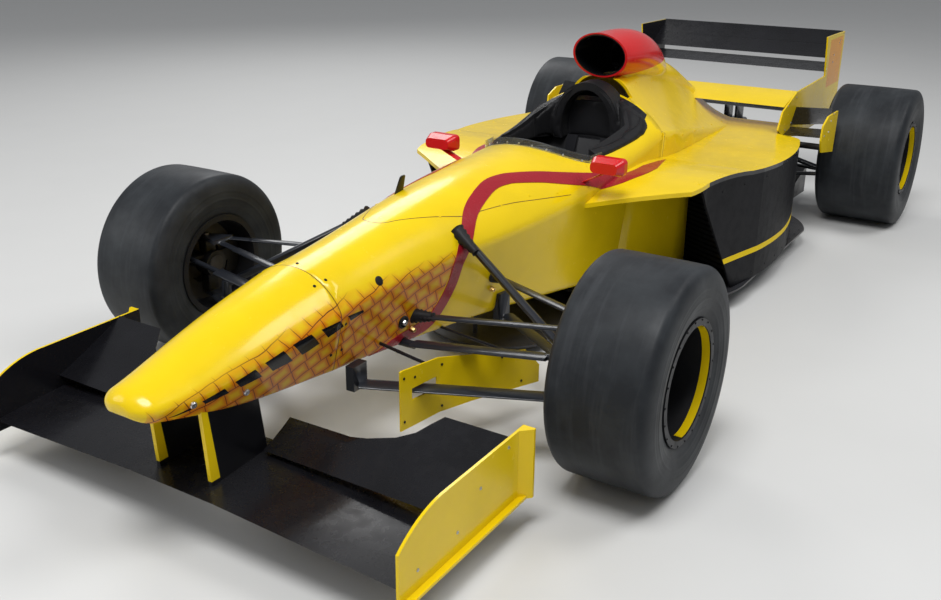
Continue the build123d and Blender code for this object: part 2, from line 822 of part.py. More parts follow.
front_legs = (
    ((150, -80, 350), upper_joint_height, 35, 12),
    ((205, 290, 375), upper_joint_height, 35, 12),
    ((160, -355, 240), lower_joint_height, 60, 14),
    ((225, 360, 215), lower_joint_height, 45, 14),
)
with BuildPart() as front_wishbone:
    for inner, joint_height, chord, thickness in front_legs:
        joint = at(kingpin_x, 0, joint_height)
        start = at(*inner)
        run = (joint - start).normalized()
        add(strut(start, joint - run * leg_neck, chord, thickness))
        neck_start = joint - run * (leg_neck + 6)
        add(strut(neck_start, joint - run * apex_length, leg_neck_chord, leg_neck_thickness))
    for joint_height in (upper_joint_height, lower_joint_height):
        with BuildSketch(Plane.XY.offset(joint_height - eye_thickness / 2)):
            with BuildLine():
                Polyline(at(kingpin_x, -eye_radius, 0), at(kingpin_x, eye_radius, 0),
                         at(kingpin_x - apex_length - 20, apex_half, 0),
                         at(kingpin_x - apex_length - 20, -apex_half, 0), close=True)
            make_face()
            with Locations(at(kingpin_x, 0, 0)):
                Circle(eye_radius)
        extrude(amount=eye_thickness)
    # a hanging bracket carries the inner end of each leg that starts below the tub
    for bracket_x, station, foot in ((150, -355, 226), (205, 352, 202)):
        with Locations(at(bracket_x, station, (foot + 300) / 2)):
            Box(28, 60, 300 - foot)
    add(tube(at(pushrod_foot_x, 0, lower_joint_height), at(pushrod_foot_x, 0, 262), pushrod_radius + 4))
    add(tube(at(pushrod_foot_x, 0, 250), at(180, 140, 550), pushrod_radius))
    add(tub, mode=Mode.SUBTRACT)
    with Locations(at(kingpin_x, 0, (upper_joint_height + lower_joint_height) / 2)):
        Cylinder(kingpin_pin_radius + running_gap, upper_joint_height - lower_joint_height + 4 * eye_thickness,
                 mode=Mode.SUBTRACT)
front_wishbones = both_sides(front_wishbone.part)
export_piece(front_wishbones, "front_wishbones")

rear_legs = (
    ((90, 2720, 350), rear_upper_height, 35, 12),
    ((75, 3000, 350), rear_upper_height, 35, 12),
    ((90, 2620, 215), rear_lower_height, 60, 14),
    ((75, 3005, 240), rear_lower_height, 40, 14),
)
with BuildPart() as rear_upright:
    with BuildSketch(Plane(origin=at(rear_joint_x, wheelbase, rear_tyre_radius), z_dir=(1, 0, 0))):
        Circle(rear_bearing_radius)
    extrude(amount=rear_bearing_length / 2, both=True)
    upright_top = rear_upper_height + 15
    upright_low = rear_lower_height - 15
    with Locations(at(rear_joint_x, wheelbase, (upright_top + upright_low) / 2)):
        Box(34, 60, upright_top - upright_low)
    with BuildSketch(Plane(origin=at(rear_joint_x, wheelbase, rear_tyre_radius), z_dir=(1, 0, 0))):
        Circle(rear_axle_radius + running_gap)
    extrude(amount=rear_bearing_length, both=True, mode=Mode.SUBTRACT)
rear_uprights = both_sides(rear_upright.part)
export_piece(rear_uprights, "rear_uprights")
with BuildPart() as rear_wishbone:
    for inner, joint_height, chord, thickness in rear_legs:
        add(strut(at(*inner), at(rear_joint_x, wheelbase, joint_height), chord, thickness))
    add(tube(at(rear_joint_x - 60, wheelbase, rear_lower_height), at(80, 2880, 370), pushrod_radius))
    add(rear_upright.part, mode=Mode.SUBTRACT)
    add(gearbox.part, mode=Mode.SUBTRACT)
rear_wishbones = both_sides(rear_wishbone.part)
export_piece(rear_wishbones, "rear_wishbones")

# Steering rack: a bar in a housing under the tub, carried on to both steering arms
with BuildPart() as rack_housing:
    with BuildSketch(side_plane(0, rack_station, rack_height)):
        Circle(rack_radius + rack_housing_wall)
        Circle(rack_radius + running_gap, mode=Mode.SUBTRACT)
    extrude(amount=rack_housing_half, both=True)
export_piece(rack_housing, "rack_housing")

arm_station = -steering_arm_length
with BuildPart() as rack_side:
    with BuildSketch(side_plane(0, rack_station, rack_height)):
        Circle(rack_radius)
    extrude(amount=rack_bar_half)
    rod_start = at(rack_bar_half - 5, rack_station, rack_height + 4)
    rod_end = at(kingpin_x, arm_station, steering_arm_height)
    rod_run = (rod_end - rod_start).normalized()
    add(strut(rod_start, rod_end - rod_run * leg_neck, rod_chord, rod_thickness))
    add(tube(rod_end - rod_run * (leg_neck + 6), rod_end, rod_radius))
    add(tube(at(kingpin_x, arm_station, steering_arm_height - eye_thickness / 2),
             at(kingpin_x, arm_station, steering_arm_height + eye_thickness / 2), rod_eye_radius))
    add(tube(at(kingpin_x, arm_station, steering_arm_height - 3 * eye_thickness),
             at(kingpin_x, arm_station, steering_arm_height + 3 * eye_thickness), rod_eye_bore),
        mode=Mode.SUBTRACT)
steering_rack = both_sides(rack_side.part)
export_piece(steering_rack, "steering_rack")


def wheel_plane(side, half_track, station, height):
    # Local x points out of the wheel, local y is up, and the origin is the wheel's centre
    return Plane(origin=at(side * half_track, station, height), x_dir=(side, 0, 0), z_dir=(0, -side, 0))


def turned(plane, points):
    # A ring about the wheel's axle: the points are distance outwards and radius
    with BuildPart() as ring:
        with BuildSketch(plane):
            with BuildLine():
                Polyline(*points, close=True)
            make_face()
        revolve(axis=Axis(plane.origin, plane.x_dir))
    return ring.part


# Left front knuckle: bearing housing, web with two pins, steering arm and brake caliper
front_plane = wheel_plane(1, front_track / 2, 0, front_tyre_radius)
web_low = lower_joint_height + eye_thickness / 2 + moving_gap
web_high = upper_joint_height - eye_thickness / 2 - moving_gap
arm_top = steering_arm_height - eye_thickness / 2 - moving_gap
with BuildPart() as knuckle_left:
    add(turned(front_plane, ((-108, 0), (-108, bearing_radius), (-52, bearing_radius), (-52, 0))))
    with Locations(at(kingpin_x, 0, (web_low + web_high) / 2)):
        Box(web_thickness, 44, web_high - web_low)
    for pin_low, pin_high in (
        (lower_joint_height - pin_reach, web_low),
        (web_high, upper_joint_height + pin_reach),
    ):
        with Locations(at(kingpin_x, 0, (pin_low + pin_high) / 2)):
            Cylinder(kingpin_pin_radius, pin_high - pin_low)
    # steering arm ahead of the axle, with its upright pin
    with BuildSketch(Plane.XY.offset(arm_top - arm_thickness)):
        with BuildLine():
            Polyline(at(kingpin_x - 16, 0, 0), at(kingpin_x + 16, 0, 0),
                     at(kingpin_x + 10, arm_station - 10, 0), at(kingpin_x - 10, arm_station - 10, 0),
                     close=True)
        make_face()
    extrude(amount=arm_thickness)
    with Locations(at(kingpin_x, arm_station, steering_arm_height)):
        Cylinder(arm_pin_radius, eye_thickness + 2 * moving_gap + 2)
    with Locations(at(front_track / 2 - 60, 60, front_tyre_radius)):
        Box(12, 90, 44)
    add(turned(front_plane, ((-108, 0), (-108, front_axle_radius + running_gap),
                             (-40, front_axle_radius + running_gap), (-40, 0))), mode=Mode.SUBTRACT)


def caliper(plane, centre):
    # A C-shaped block straddling the disc, behind the axle
    slot_outer = brake_disc_radius + moving_gap
    with BuildPart() as block:
        add(turned(plane, ((-66, 98), (-66, 150), (0, 150), (0, 98),
                           (-14, 98), (-14, slot_outer), (-52, slot_outer), (-52, 98))))
        with Locations(centre + Vector(0, 130, 0)):
            Box(200, 90, 130, mode=Mode.INTERSECT)
    return block.part


with BuildPart() as knuckle_with_caliper:
    add(knuckle_left.part)
    add(caliper(front_plane, front_plane.origin))
export_piece(knuckle_with_caliper, "knuckle_left")
with BuildPart() as knuckle_right:
    add(mirror(knuckle_with_caliper.part, about=Plane.YZ))
export_piece(knuckle_right, "knuckle_right")


# Wheels: hub with axle, bell, disc and nut; rim; tyre
def wheel_hub(plane, axle_radius, axle_end):
    disc_inner = disc_face - brake_disc_thickness
    with BuildPart() as hub:
        add(turned(plane, (
            (axle_end, 0), (axle_end, axle_radius), (4, axle_radius), (4, bell_radius - bell_wall),
            (disc_inner, bell_radius - bell_wall), (disc_inner, brake_disc_radius),
            (disc_face, brake_disc_radius), (disc_face, bell_radius), (rim_face, bell_radius), (rim_face, 0),
        )))
        with BuildSketch(Plane(origin=plane.origin + plane.x_dir * rim_face, z_dir=plane.x_dir)):
            RegularPolygon(wheel_nut_radius, 6)
        extrude(amount=rim_face_thickness + 30)
    return hub


def wheel_rim(plane, width):
    half = width / 2
    inner = rim_seat_radius - rim_wall
    with BuildPart() as rim:
        add(turned(plane, (
            (-half, inner), (-half, rim_flange_radius), (rim_flange_thickness - half, rim_flange_radius),
            (rim_flange_thickness - half, rim_seat_radius), (half - rim_flange_thickness, rim_seat_radius),
            (half - rim_flange_thickness, rim_flange_radius), (half, rim_flange_radius), (half, inner),
        )))
        face_plane = Plane(origin=plane.origin + plane.x_dir * rim_face, z_dir=plane.x_dir)
        with BuildSketch(face_plane):
            Circle(inner + rim_wall / 2)
            RegularPolygon(wheel_nut_radius + panel_gap, 6, mode=Mode.SUBTRACT)
            with PolarLocations(108, spoke_count):
                Polygon((-33, -14), (33, -38), (33, 38), (-33, 14), align=None, mode=Mode.SUBTRACT)
        extrude(amount=rim_face_thickness)
    return rim


def wheel_tyre(plane, width, rim_width, radius):
    half = width / 2
    bead = rim_width / 2 - rim_flange_thickness
    right = (
        (bead, rim_seat_radius), (bead, rim_flange_radius + 1), (half - 10, 0.45 * radius + 75),
        (half, 0.45 * radius + 105), (half - 2, radius - 55), (half - 9, radius - 24), (half - 30, radius),
    )
    left = tuple((-u, r) for u, r in reversed(right))
    with BuildPart() as tyre:
        add(turned(plane, right + left))
    return tyre


for name, half_track, station, radius, width, rim_width, axle_radius, axle_end in (
    ("front", front_track / 2, 0, front_tyre_radius, front_tyre_width, front_rim_width,
     front_axle_radius, -112),
    ("rear", rear_track / 2, wheelbase, rear_tyre_radius, rear_tyre_width, rear_rim_width,
     rear_axle_radius, -160),
):
    for side, side_name in ((1, "left"), (-1, "right")):
        plane = wheel_plane(side, half_track, station, radius)
        suffix = "_" + name + "_" + side_name
        hub = wheel_hub(plane, axle_radius, axle_end)
        if name == "rear":
            with BuildPart() as hub_with_shaft:
                add(hub.part)
                shaft_run = half_track - gearbox_half - shaft_gap
                add(turned(plane, ((-shaft_run, 0), (-shaft_run, boot_radius), (60 - shaft_run, boot_radius),
                                   (90 - shaft_run, drive_shaft_radius), (axle_end - 40, drive_shaft_radius),
                                   (axle_end - 20, boot_radius - 4), (axle_end, boot_radius - 4),
                                   (axle_end, 0))))
            hub = hub_with_shaft
        export_piece(hub, "hub" + suffix)
        export_piece(wheel_rim(plane, rim_width), "rim" + suffix)
        export_piece(wheel_tyre(plane, width, rim_width, radius), "tyre" + suffix)

# Cockpit: an arch of padding behind the head and pads along the rims, lapping over the tub's edge
with BuildPart() as side_pads:
    with BuildSketch(Plane.XY.offset(side_pad_bottom)):
        with BuildLine():
            Polyline(at(224, 1000, 0), at(262, 1340, 0), at(256, 1385, 0), at(236, 1402, 0), at(120, 1402, 0),
                     at(160, 1352, 0), at(200, 1290, 0), at(224 - 0.6 * side_pad_width, 1000, 0), close=True)
        make_face()
        mirror(about=Plane.YZ)
    extrude(amount=400)
    add(hull_form(tub_rows, side_pad_rise), mode=Mode.INTERSECT)
with BuildPart() as cockpit_padding:
    with BuildSketch(section_plane(padding_front_station)):
        with Locations((0, padding_height)):
            Ellipse(padding_half, padding_top - padding_height)
    extrude(amount=padding_front_station - bulkhead_station + panel_gap)
    with BuildSketch(section_plane(padding_front_station - 1)):
        with Locations((0, padding_height)):
            Ellipse(padding_half - padding_rim, padding_top - padding_height - 0.8 * padding_rim)
    extrude(amount=-padding_recess, mode=Mode.SUBTRACT)
    with BuildSketch(section_plane(padding_front_station - 1)):
        with Locations((0, side_pad_bottom - 250)):
            Rectangle(2 * padding_half, 500)
    extrude(amount=-300, mode=Mode.SUBTRACT)
    add(side_pads.part)
    add(monocoque.part, mode=Mode.SUBTRACT)
export_piece(cockpit_padding, "cockpit_padding")

# Seat: a reclined shell wedged between the walls of the tub
with BuildPart() as seat:
    add(side_outline(
        ((1000, 225), (1060, 195), (1160, 172), (1215, 188), (1260, 240), (1400, 590),
         (1425, 590), (1285, 235), (1225, 158), (1160, 145), (1050, 168), (1000, 200)),
        -300, 600))
    add(cabin.part, mode=Mode.INTERSECT)
export_piece(seat, "seat")

# Dash panel, with the pin that the steering wheel turns on
wheel_lean = radians(steering_axis_lean)
wheel_centre = at(0, steering_wheel_station, steering_wheel_height)
wheel_axis = Vector(0, cos(wheel_lean), sin(wheel_lean))
with BuildPart() as dash:
    with Locations(at(0, dash_station, dash_top - dash_height / 2)):
        Box(600, dash_thickness, dash_height)
    add(cabin.part, mode=Mode.INTERSECT)
    column_run = (steering_wheel_station - dash_station) / cos(wheel_lean)
    add(tube(wheel_centre - wheel_axis * column_run, wheel_centre + wheel_axis * (boss_length / 2), column_radius))
export_piece(dash, "dash")

wheel_face = Plane(origin=wheel_centre, x_dir=(1, 0, 0), z_dir=wheel_axis)
with BuildPart() as steering_wheel:
    with BuildSketch(Plane(origin=wheel_centre, x_dir=(1, 0, 0), z_dir=wheel_face.y_dir)):
        with Locations((steering_wheel_radius, 0)):
            RegularPolygon(steering_rim_radius, 8)
    revolve(axis=Axis(wheel_centre, wheel_axis))
    with BuildSketch(wheel_face):
        Rectangle(2 * steering_wheel_radius, 34)
        with Locations((0, steering_wheel_radius / 2)):
            Rectangle(40, steering_wheel_radius)
        Circle(column_radius + 26)
    extrude(amount=4, both=True)
    with BuildSketch(wheel_face):
        Circle(column_radius + 9)
    extrude(amount=boss_length / 2, both=True)
    with BuildSketch(wheel_face):
        Circle(column_radius + running_gap)
    extrude(amount=boss_length, both=True, mode=Mode.SUBTRACT)
export_piece(steering_wheel, "steering_wheel")

# Windscreen: a low clear strip that stands on the tub round the front of the opening
with BuildPart() as windscreen:
    with BuildSketch(Plane.XY.offset(500)):
        with BuildLine():
            outer_half = cockpit_front_half + windscreen_margin
            apex = cockpit_front_station - cockpit_front_bow - windscreen_margin
            tail = cockpit_front_station + windscreen_tail
            inner_flare = windscreen_flare - windscreen_thickness
            outer = ThreePointArc(at(-outer_half, cockpit_front_station, 0), at(0, apex, 0),
                                  at(outer_half, cockpit_front_station, 0))
            left = Polyline(outer @ 1, at(outer_half + windscreen_flare, tail, 0),
                            at(outer_half + inner_flare, tail, 0),
                            at(outer_half - windscreen_thickness, cockpit_front_station, 0))
            inner = ThreePointArc(left @ 1, at(0, apex + windscreen_thickness, 0),
                                  at(windscreen_thickness - outer_half, cockpit_front_station, 0))
            Polyline(inner @ 1, at(-outer_half - inner_flare, tail, 0),
                     at(-outer_half - windscreen_flare, tail, 0), outer @ 0)
        make_face()
    extrude(amount=400)
    add(hull_form(tub_rows, windscreen_height), mode=Mode.INTERSECT)
    add(tub, mode=Mode.SUBTRACT)
export_piece(windscreen, "windscreen")

# Mirrors: a pod on a flat stalk at each side
with BuildPart() as mirror_pod:
    for depth, taper in ((-35, 22), (5, 0), (30, 0)):
        with BuildSketch(section_plane(mirror_station + depth)):
            with Locations((mirror_x, mirror_height)):
                RectangleRounded(mirror_width - taper, mirror_depth - taper, 16)
    loft(ruled=True)
    add(strut(at(mirror_x, mirror_station, mirror_height - 20), at(230, mirror_station + 15, 560), 40, 7))
    add(tub, mode=Mode.SUBTRACT)
mirrors = both_sides(mirror_pod.part)
export_piece(mirrors, "mirrors")
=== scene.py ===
# Open wheel racing car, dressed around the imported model
import math

import bmesh
import bpy
from mathutils import Matrix, Vector
from mathutils.bvhtree import BVHTree


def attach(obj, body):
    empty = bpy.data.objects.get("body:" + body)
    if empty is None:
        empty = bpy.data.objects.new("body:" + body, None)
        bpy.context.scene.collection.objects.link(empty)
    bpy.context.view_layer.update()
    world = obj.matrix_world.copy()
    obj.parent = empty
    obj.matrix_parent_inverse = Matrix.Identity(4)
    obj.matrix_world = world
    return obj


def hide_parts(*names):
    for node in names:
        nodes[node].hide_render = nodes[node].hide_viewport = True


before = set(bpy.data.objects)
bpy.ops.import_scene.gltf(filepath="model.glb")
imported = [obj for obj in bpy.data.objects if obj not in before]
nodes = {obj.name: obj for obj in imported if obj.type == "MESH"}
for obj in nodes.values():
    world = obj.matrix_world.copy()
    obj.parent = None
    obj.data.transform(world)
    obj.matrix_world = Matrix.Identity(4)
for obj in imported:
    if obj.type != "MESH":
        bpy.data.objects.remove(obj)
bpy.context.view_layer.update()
scene = bpy.context.scene
print("frame loaded", len(nodes), "nodes")

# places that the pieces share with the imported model, in metres
layout = {
    "midStation": 1.195,
    "frontTyre": {"radius": 0.317, "width": 0.300, "rim": 0.276, "x": 0.850, "station": 0.0},
    "rearTyre": {"radius": 0.330, "width": 0.380, "rim": 0.352, "x": 0.810, "station": 2.950},
    "rimSeat": 0.165,
    "rimFlange": 0.177,
}
sides = ((1, "left"), (-1, "right"))
aside, upright = (1, 0, 0), (0, 0, 1)


def y(station):
    # stations are metres behind the front axle
    return station - layout["midStation"]


def spot(x, station, z, sign=1):
    return Vector((x * sign, y(station), z))


def turns(count):
    # the angles of an even circle
    return [2 * math.pi * k / count for k in range(count)]


def spoke(angle):
    # a unit vector in the plane of the wheels
    return Vector((0, math.cos(angle), math.sin(angle)))


def held(data, name="holder"):
    # an object of the scene that carries the data
    holder = bpy.data.objects.new(name, data)
    scene.collection.objects.link(holder)
    return holder


def evaluated(holder):
    return holder.evaluated_get(bpy.context.evaluated_depsgraph_get())


def baked(holder):
    # the holder's finished shape as a plain mesh; the holder goes
    mesh = bpy.data.meshes.new_from_object(evaluated(holder))
    bpy.data.objects.remove(holder)
    return mesh


def operator(operation, turned=False):
    # a method that makes one maths node of a wire and the other value
    def method(self, other):
        return self.maths(operation, other, self) if turned else self.maths(operation, self, other)
    return method


# one socket of a node tree, with the operators that the materials use
class Wire:
    def __init__(self, maker, socket):
        self.maker = maker
        self.socket = socket

    def maths(self, operation, first, second=0.0):
        return self.maker.make("ShaderNodeMath", {"operation": operation}, [first, second])

    __add__ = __radd__ = operator("ADD")
    __mul__ = __rmul__ = operator("MULTIPLY")
    __sub__, __rsub__ = operator("SUBTRACT"), operator("SUBTRACT", True)
    __truediv__ = operator("DIVIDE")
    __gt__, __lt__ = operator("GREATER_THAN"), operator("LESS_THAN")

    def __abs__(self):
        return self.maths("ABSOLUTE", self)

    def wave(self, pitch):
        # a sine that crosses zero once in each pitch
        return self.maths("SINE", self * (math.pi / pitch))

    def fraction(self):
        return self.maths("FRACT", self)

    def between(self, low, high):
        return (self > low) * (self < high)

    def ramp(self, low, high):
        # 0 at low and 1 at high, clamped
        return self.maker.make("ShaderNodeMapRange", {"clamp": True}, [self, low, high, 0.0, 1.0])


# makes and wires the nodes of one tree
class Maker:
    def __init__(self, tree):
        self.tree = tree

    def connect(self, target, value):
        # the value is a wire, a number or name, or a colour of the table or its own
        if isinstance(value, Wire):
            self.tree.links.new(value.socket, target)
        elif target.type == "RGBA":
            target.default_value = (*colours.get(value, value), 1.0)
        else:
            target.default_value = value

    def make(self, kind, settings=None, values=(), output=0):
        # settings come first; values go to the sockets by place or by name
        node = self.tree.nodes.new(kind)
        for key, value in (settings or {}).items():
            setattr(node, key, value)
        pairs = values.items() if isinstance(values, dict) else enumerate(values)
        for key, value in pairs:
            self.connect(node.inputs[key], value)
        return Wire(self, node.outputs[output])


# one node material; its sockets are set by name
class Finish(Maker):
    def __init__(self, name, **sockets):
        self.material = bpy.data.materials.new(name)
        self.material.use_nodes = True
        super().__init__(self.material.node_tree)
        self.shader = self.tree.nodes["Principled BSDF"]
        for socket, value in sockets.items():
            self.put(socket.replace("_", " "), value)

    def put(self, socket, value):
        self.connect(self.shader.inputs[socket], value)

    def place(self):
        return self.make("ShaderNodeTexCoord", output="Object")

    def split(self, vector):
        outs = self.make("ShaderNodeSeparateXYZ", values=[vector]).socket.node.outputs
        return Wire(self, outs["X"]), Wire(self, outs["Y"]), Wire(self, outs["Z"])

    def axes(self):
        # x, station and z of the point
        x, along, z = self.split(self.place())
        return x, along + layout["midStation"], z

    def facing(self):
        return self.split(self.make("ShaderNodeNewGeometry", output="True Normal"))

    def join(self, x, along, z=0.0):
        return self.make("ShaderNodeCombineXYZ", values=[x, along, z])

    def noise(self, scale, detail=4.0, roughness=0.55, vector=None):
        return self.make("ShaderNodeTexNoise", values={
            "Vector": vector or self.place(), "Scale": scale, "Detail": detail, "Roughness": roughness})

    def mix(self, factor, first, second):
        return self.make("ShaderNodeMix", {"data_type": "RGBA"}, {0: factor, 6: first, 7: second}, output=2)

    def paint(self, factor, first, second):
        self.put("Base Color", self.mix(factor, first, second))

    def bump(self, height, strength=0.2, distance=0.001):
        self.put("Normal", self.make("ShaderNodeBump", values={
            "Strength": strength, "Distance": distance, "Height": height}))


# a Geometry Nodes tree with named inputs that sets one shape on each point of a carrier
class Growth(Maker):
    def __init__(self, name, **inputs):
        super().__init__(bpy.data.node_groups.new(name, "GeometryNodeTree"))
        face = self.tree.interface
        for label, kind in {"Geometry": "Geometry", **inputs, "Finish": "Material"}.items():
            face.new_socket(label, in_out="INPUT", socket_type="NodeSocket" + kind)
        face.new_socket("Geometry", in_out="OUTPUT", socket_type="NodeSocketGeometry")
        self.entry = self.tree.nodes.new("NodeGroupInput")
        self.exit = self.tree.nodes.new("NodeGroupOutput")

    def given(self, label):
        return Wire(self, self.entry.outputs[label])

    def scatter(self, shape, axis):
        # the shape on every point, with its axis along the way that the point faces
        facing = self.make(
            "GeometryNodeInputNamedAttribute", {"data_type": "FLOAT_VECTOR"}, {"Name": "facing"})
        turn = self.make("FunctionNodeAlignRotationToVector", {"axis": axis}, {"Vector": facing})
        spread = self.make("GeometryNodeInstanceOnPoints", values={
            "Points": self.given("Geometry"), "Instance": shape, "Rotation": turn})
        real = self.make("GeometryNodeRealizeInstances", values=[spread])
        painted = self.make("GeometryNodeSetMaterial", values={
            "Geometry": real, "Material": self.given("Finish")})
        self.tree.links.new(painted.socket, self.exit.inputs[0])

    def grow(self, places, **inputs):
        # the result on places that each have a point and the way that it faces, as a plain mesh
        carrier = bpy.data.meshes.new("carrier")
        carrier.from_pydata([p for p, _ in places], [], [])
        facing = carrier.attributes.new("facing", "FLOAT_VECTOR", "POINT")
        facing.data.foreach_set("vector", [c for _, f in places for c in f])
        holder = held(carrier)
        modifier = holder.modifiers.new("grow", "NODES")
        modifier.node_group = self.tree
        for item in self.tree.interface.items_tree:
            if item.in_out == "INPUT" and item.name in inputs:
                modifier[item.identifier] = inputs[item.name]
        return baked(holder)


# finishes
colours = {
    "lemon": (0.83, 0.585, 0.004),
    "golden": (0.74, 0.40, 0.006),
    "orange": (0.66, 0.17, 0.006),
    "marigold": (0.80, 0.33, 0.004),
    "umber": (0.10, 0.030, 0.008),
    "poppy": (0.60, 0.012, 0.014),
    "crimson": (0.33, 0.012, 0.022),
    "ink": (0.007, 0.007, 0.009),
    "rubber": (0.013, 0.015, 0.018),
    "rubberWorn": (0.030, 0.034, 0.038),
}


def darker(colour, share):
    return tuple(c * share for c in colours.get(colour, colour))


def gloss(name, colour, roughness=0.20, coat=0.20, wear=0.08, zones=None, **sockets):
    # painted bodywork: mottle in the colour, dust that dulls it and a soft ripple in the lacquer
    finish = Finish(name, Coat_Roughness=0.07, Specular_IOR_Level=sockets.pop("shine", 0.26), **sockets)
    mottle = finish.noise(6.0, 3.0).ramp(0.35, 0.7)
    shade = finish.mix(mottle, colour, darker(colour, 1 - wear))
    if zones:
        shade = zones(finish, shade, *finish.axes())
    finish.put("Base Color", shade)
    dust = finish.noise(26.0, 6.0, 0.65).ramp(0.45, 0.75)
    finish.put("Roughness", dust * 0.10 + roughness)
    finish.put("Coat Weight", (1 - dust * 0.6) * coat)
    finish.bump(finish.noise(90.0, 2.0) * 0.4 + finish.noise(9.0, 2.0), 0.05, 0.002)
    return finish


def metal(name, colour, roughness=0.35, grain=180.0, metallic=1.0):
    finish = Finish(name, Metallic=metallic)
    streaks = finish.noise(grain, 5.0, 0.7)
    grime = finish.noise(14.0, 5.0, 0.6).ramp(0.4, 0.75)
    finish.paint(grime * 0.5, colour, darker(colour, 0.45))
    finish.put("Roughness", streaks * 0.16 + grime * 0.15 + (roughness - 0.08))
    finish.bump(streaks, 0.08, 0.0006)
    return finish


def wovenComposite(name, tint=(0.012, 0.012, 0.014), pitch=0.005, roughness=0.34):
    # bare composite: a plain twill seen through resin
    finish = Finish(name, Coat_Weight=0.3, Coat_Roughness=0.14, Specular_IOR_Level=0.4)
    x, station, z = finish.axes()
    rows = (station + z).wave(pitch)
    columns = (x - station * 0.5 + z * 0.5).wave(pitch)
    weave = (rows * columns).ramp(-0.25, 0.25)
    finish.paint(weave, tint, darker(tint, 2.4))
    finish.put("Roughness", weave * 0.12 + finish.noise(18.0).ramp(0.4, 0.8) * 0.18 + roughness)
    finish.bump(weave, 0.10, 0.0004)
    return finish


# the fitted zones of colour, in station and height
livery = {
    "noseJoint": -0.43, "bandStart": -1.02, "cell": (0.062, 0.043), "outline": 0.0011,
    "dashPitch": 0.098, "dashShare": 0.66, "deckBlackFrom": 1.13, "flankStripe": (0.200, 0.223),
    "mouthEnd": 1.79, "panel": (3.145, 3.40, 0.600, 0.842), "mirrorFace": 0.8545, "mirrorAt": (0.346, 0.641),
    "mirrorHalf": (0.052, 0.022),
}


def nosePattern(finish, shade, x, station, z):
    # a band of slanted cells along the lower side, crossed by a row of plain black dashes
    sideways = finish.facing()[0]
    top = station.ramp(-0.99, -0.47) * 0.100 + 0.420
    fence = z.ramp(0.278, 0.311) * 0.188 + z.ramp(0.311, 0.481) * 0.107 - 0.205
    inBand = (abs(sideways) > 0.35) * (z < top) * (station > livery["bandStart"]) * (station < fence)
    drift = finish.noise(5.0, 2.0) * 0.05
    along = station + z * 0.55 + drift
    across = z + station * -0.28 + drift
    width, height = livery["cell"]

    def cells(size, smooth):
        return finish.make("ShaderNodeTexBrick", {"offset": 0.45, "squash": 0.8, "squash_frequency": 3}, {
            "Vector": finish.join(along, across), "Scale": 1.0, "Mortar Size": size, "Mortar Smooth": smooth,
            "Brick Width": width, "Row Height": height}, output="Fac")
    fade = (top - z).ramp(0.0, 0.045)
    warm = cells(0.020, 1.0) * fade
    cellShade = finish.mix(warm, finish.mix(fade * 0.75, shade, "golden"), "orange")
    cellShade = finish.mix(cells(livery["outline"], 0.1) * fade.ramp(0.05, 0.5), cellShade, "umber")
    middle = station.ramp(-0.95, -0.40) * 0.065 + 0.385
    half = station.ramp(-0.98, -0.62) * 0.024 - station.ramp(-0.55, -0.28) * 0.024
    slant = ((station + (z - middle) * 0.8) / livery["dashPitch"] + 20.0).fraction()
    dash = (abs(z - middle) < half) * (slant < livery["dashShare"]) * station.between(-0.97, -0.26)
    cellShade = finish.mix(dash, cellShade, "ink")
    joint = abs(station - livery["noseJoint"]) < 0.0013
    return finish.mix(joint, finish.mix(inBand, shade, cellShade), "umber")


def tubZones(finish, shade, x, station, z):
    # the room inside the tub and the edges of its opening are black
    nx, ny, nz = finish.facing()
    inwards = (x * nx < -0.03) * (abs(x) > 0.05) + (abs(x) < 0.20) * (nz > 0.6) * (z < 0.42) * (station > -0.3)
    frontEdge = (ny > 0.3) * station.between(0.80, 0.97) * (abs(x) < 0.24)
    backEdge = (ny < -0.3) * station.between(1.385, 1.44) * (abs(x) < 0.263)
    return finish.mix(inwards + frontEdge + backEdge, nosePattern(finish, shade, x, station, z), "ink")


def ductDark(finish, shade, x, station, z):
    # black inside the intake: the oval's share is below one there
    height = 0.925 - station.ramp(1.44, 1.60) * 0.013 - station.ramp(1.60, 1.78) * 0.024
    halfWidth = 0.118 + station.ramp(1.44, 1.60) * 0.010 - station.ramp(1.60, 1.78) * 0.012
    halfHeight = 0.088 + station.ramp(1.44, 1.60) * 0.010 + station.ramp(1.60, 1.78) * 0.004
    u, v = x / halfWidth, (z - height) / halfHeight
    inside = (u * u + v * v < 0.875) * (station > 1.40) * (station < livery["mouthEnd"])
    seam = abs(station - 1.462) < 0.0014
    return finish.mix(inside, finish.mix(seam * (z < 0.82), shade, "umber"), "ink")


def deckZones(finish, shade, x, station, z):
    # the deck's edge is black behind the duct's mouth, and so is the duct behind its lit wall
    upward = finish.facing()[2]
    edge = (abs(upward) < 0.5) * (station > livery["deckBlackFrom"]) * (abs(x) > 0.45)
    under = upward < -0.5
    return finish.mix(edge + under, shade, "ink")


def flankZones(finish, shade, x, station, z):
    low, high = livery["flankStripe"]
    rise = station.ramp(1.3, 1.9) * -0.020
    stripe = (z - rise > low) * (z - rise < high) * (abs(finish.facing()[0]) > 0.4)
    return finish.mix(stripe * (station < 2.32), shade, "lemon")


def plateZones(finish, shade, x, station, z):
    # black inner faces; a plain orange panel on the rear plates' outer faces
    inner = (abs(x) < 0.5004) + (abs(x) > 0.6) * (abs(x) < 0.7003) * (station < 0)
    first, last, low, high = livery["panel"]
    panel = station.between(first, last) * z.between(low, high) * abs(x).between(0.5075, 0.52)
    return finish.mix(inner, finish.mix(panel, shade, "marigold"), "ink")


def boardZones(finish, shade, x, station, z):
    # the boards are yellow and the stays behind them are black
    board = station.ramp(-0.36, -0.20) * 0.022 + station.ramp(-0.20, 0.158) * 0.128 + 0.297
    return finish.mix(abs(x) < board, shade, "ink")


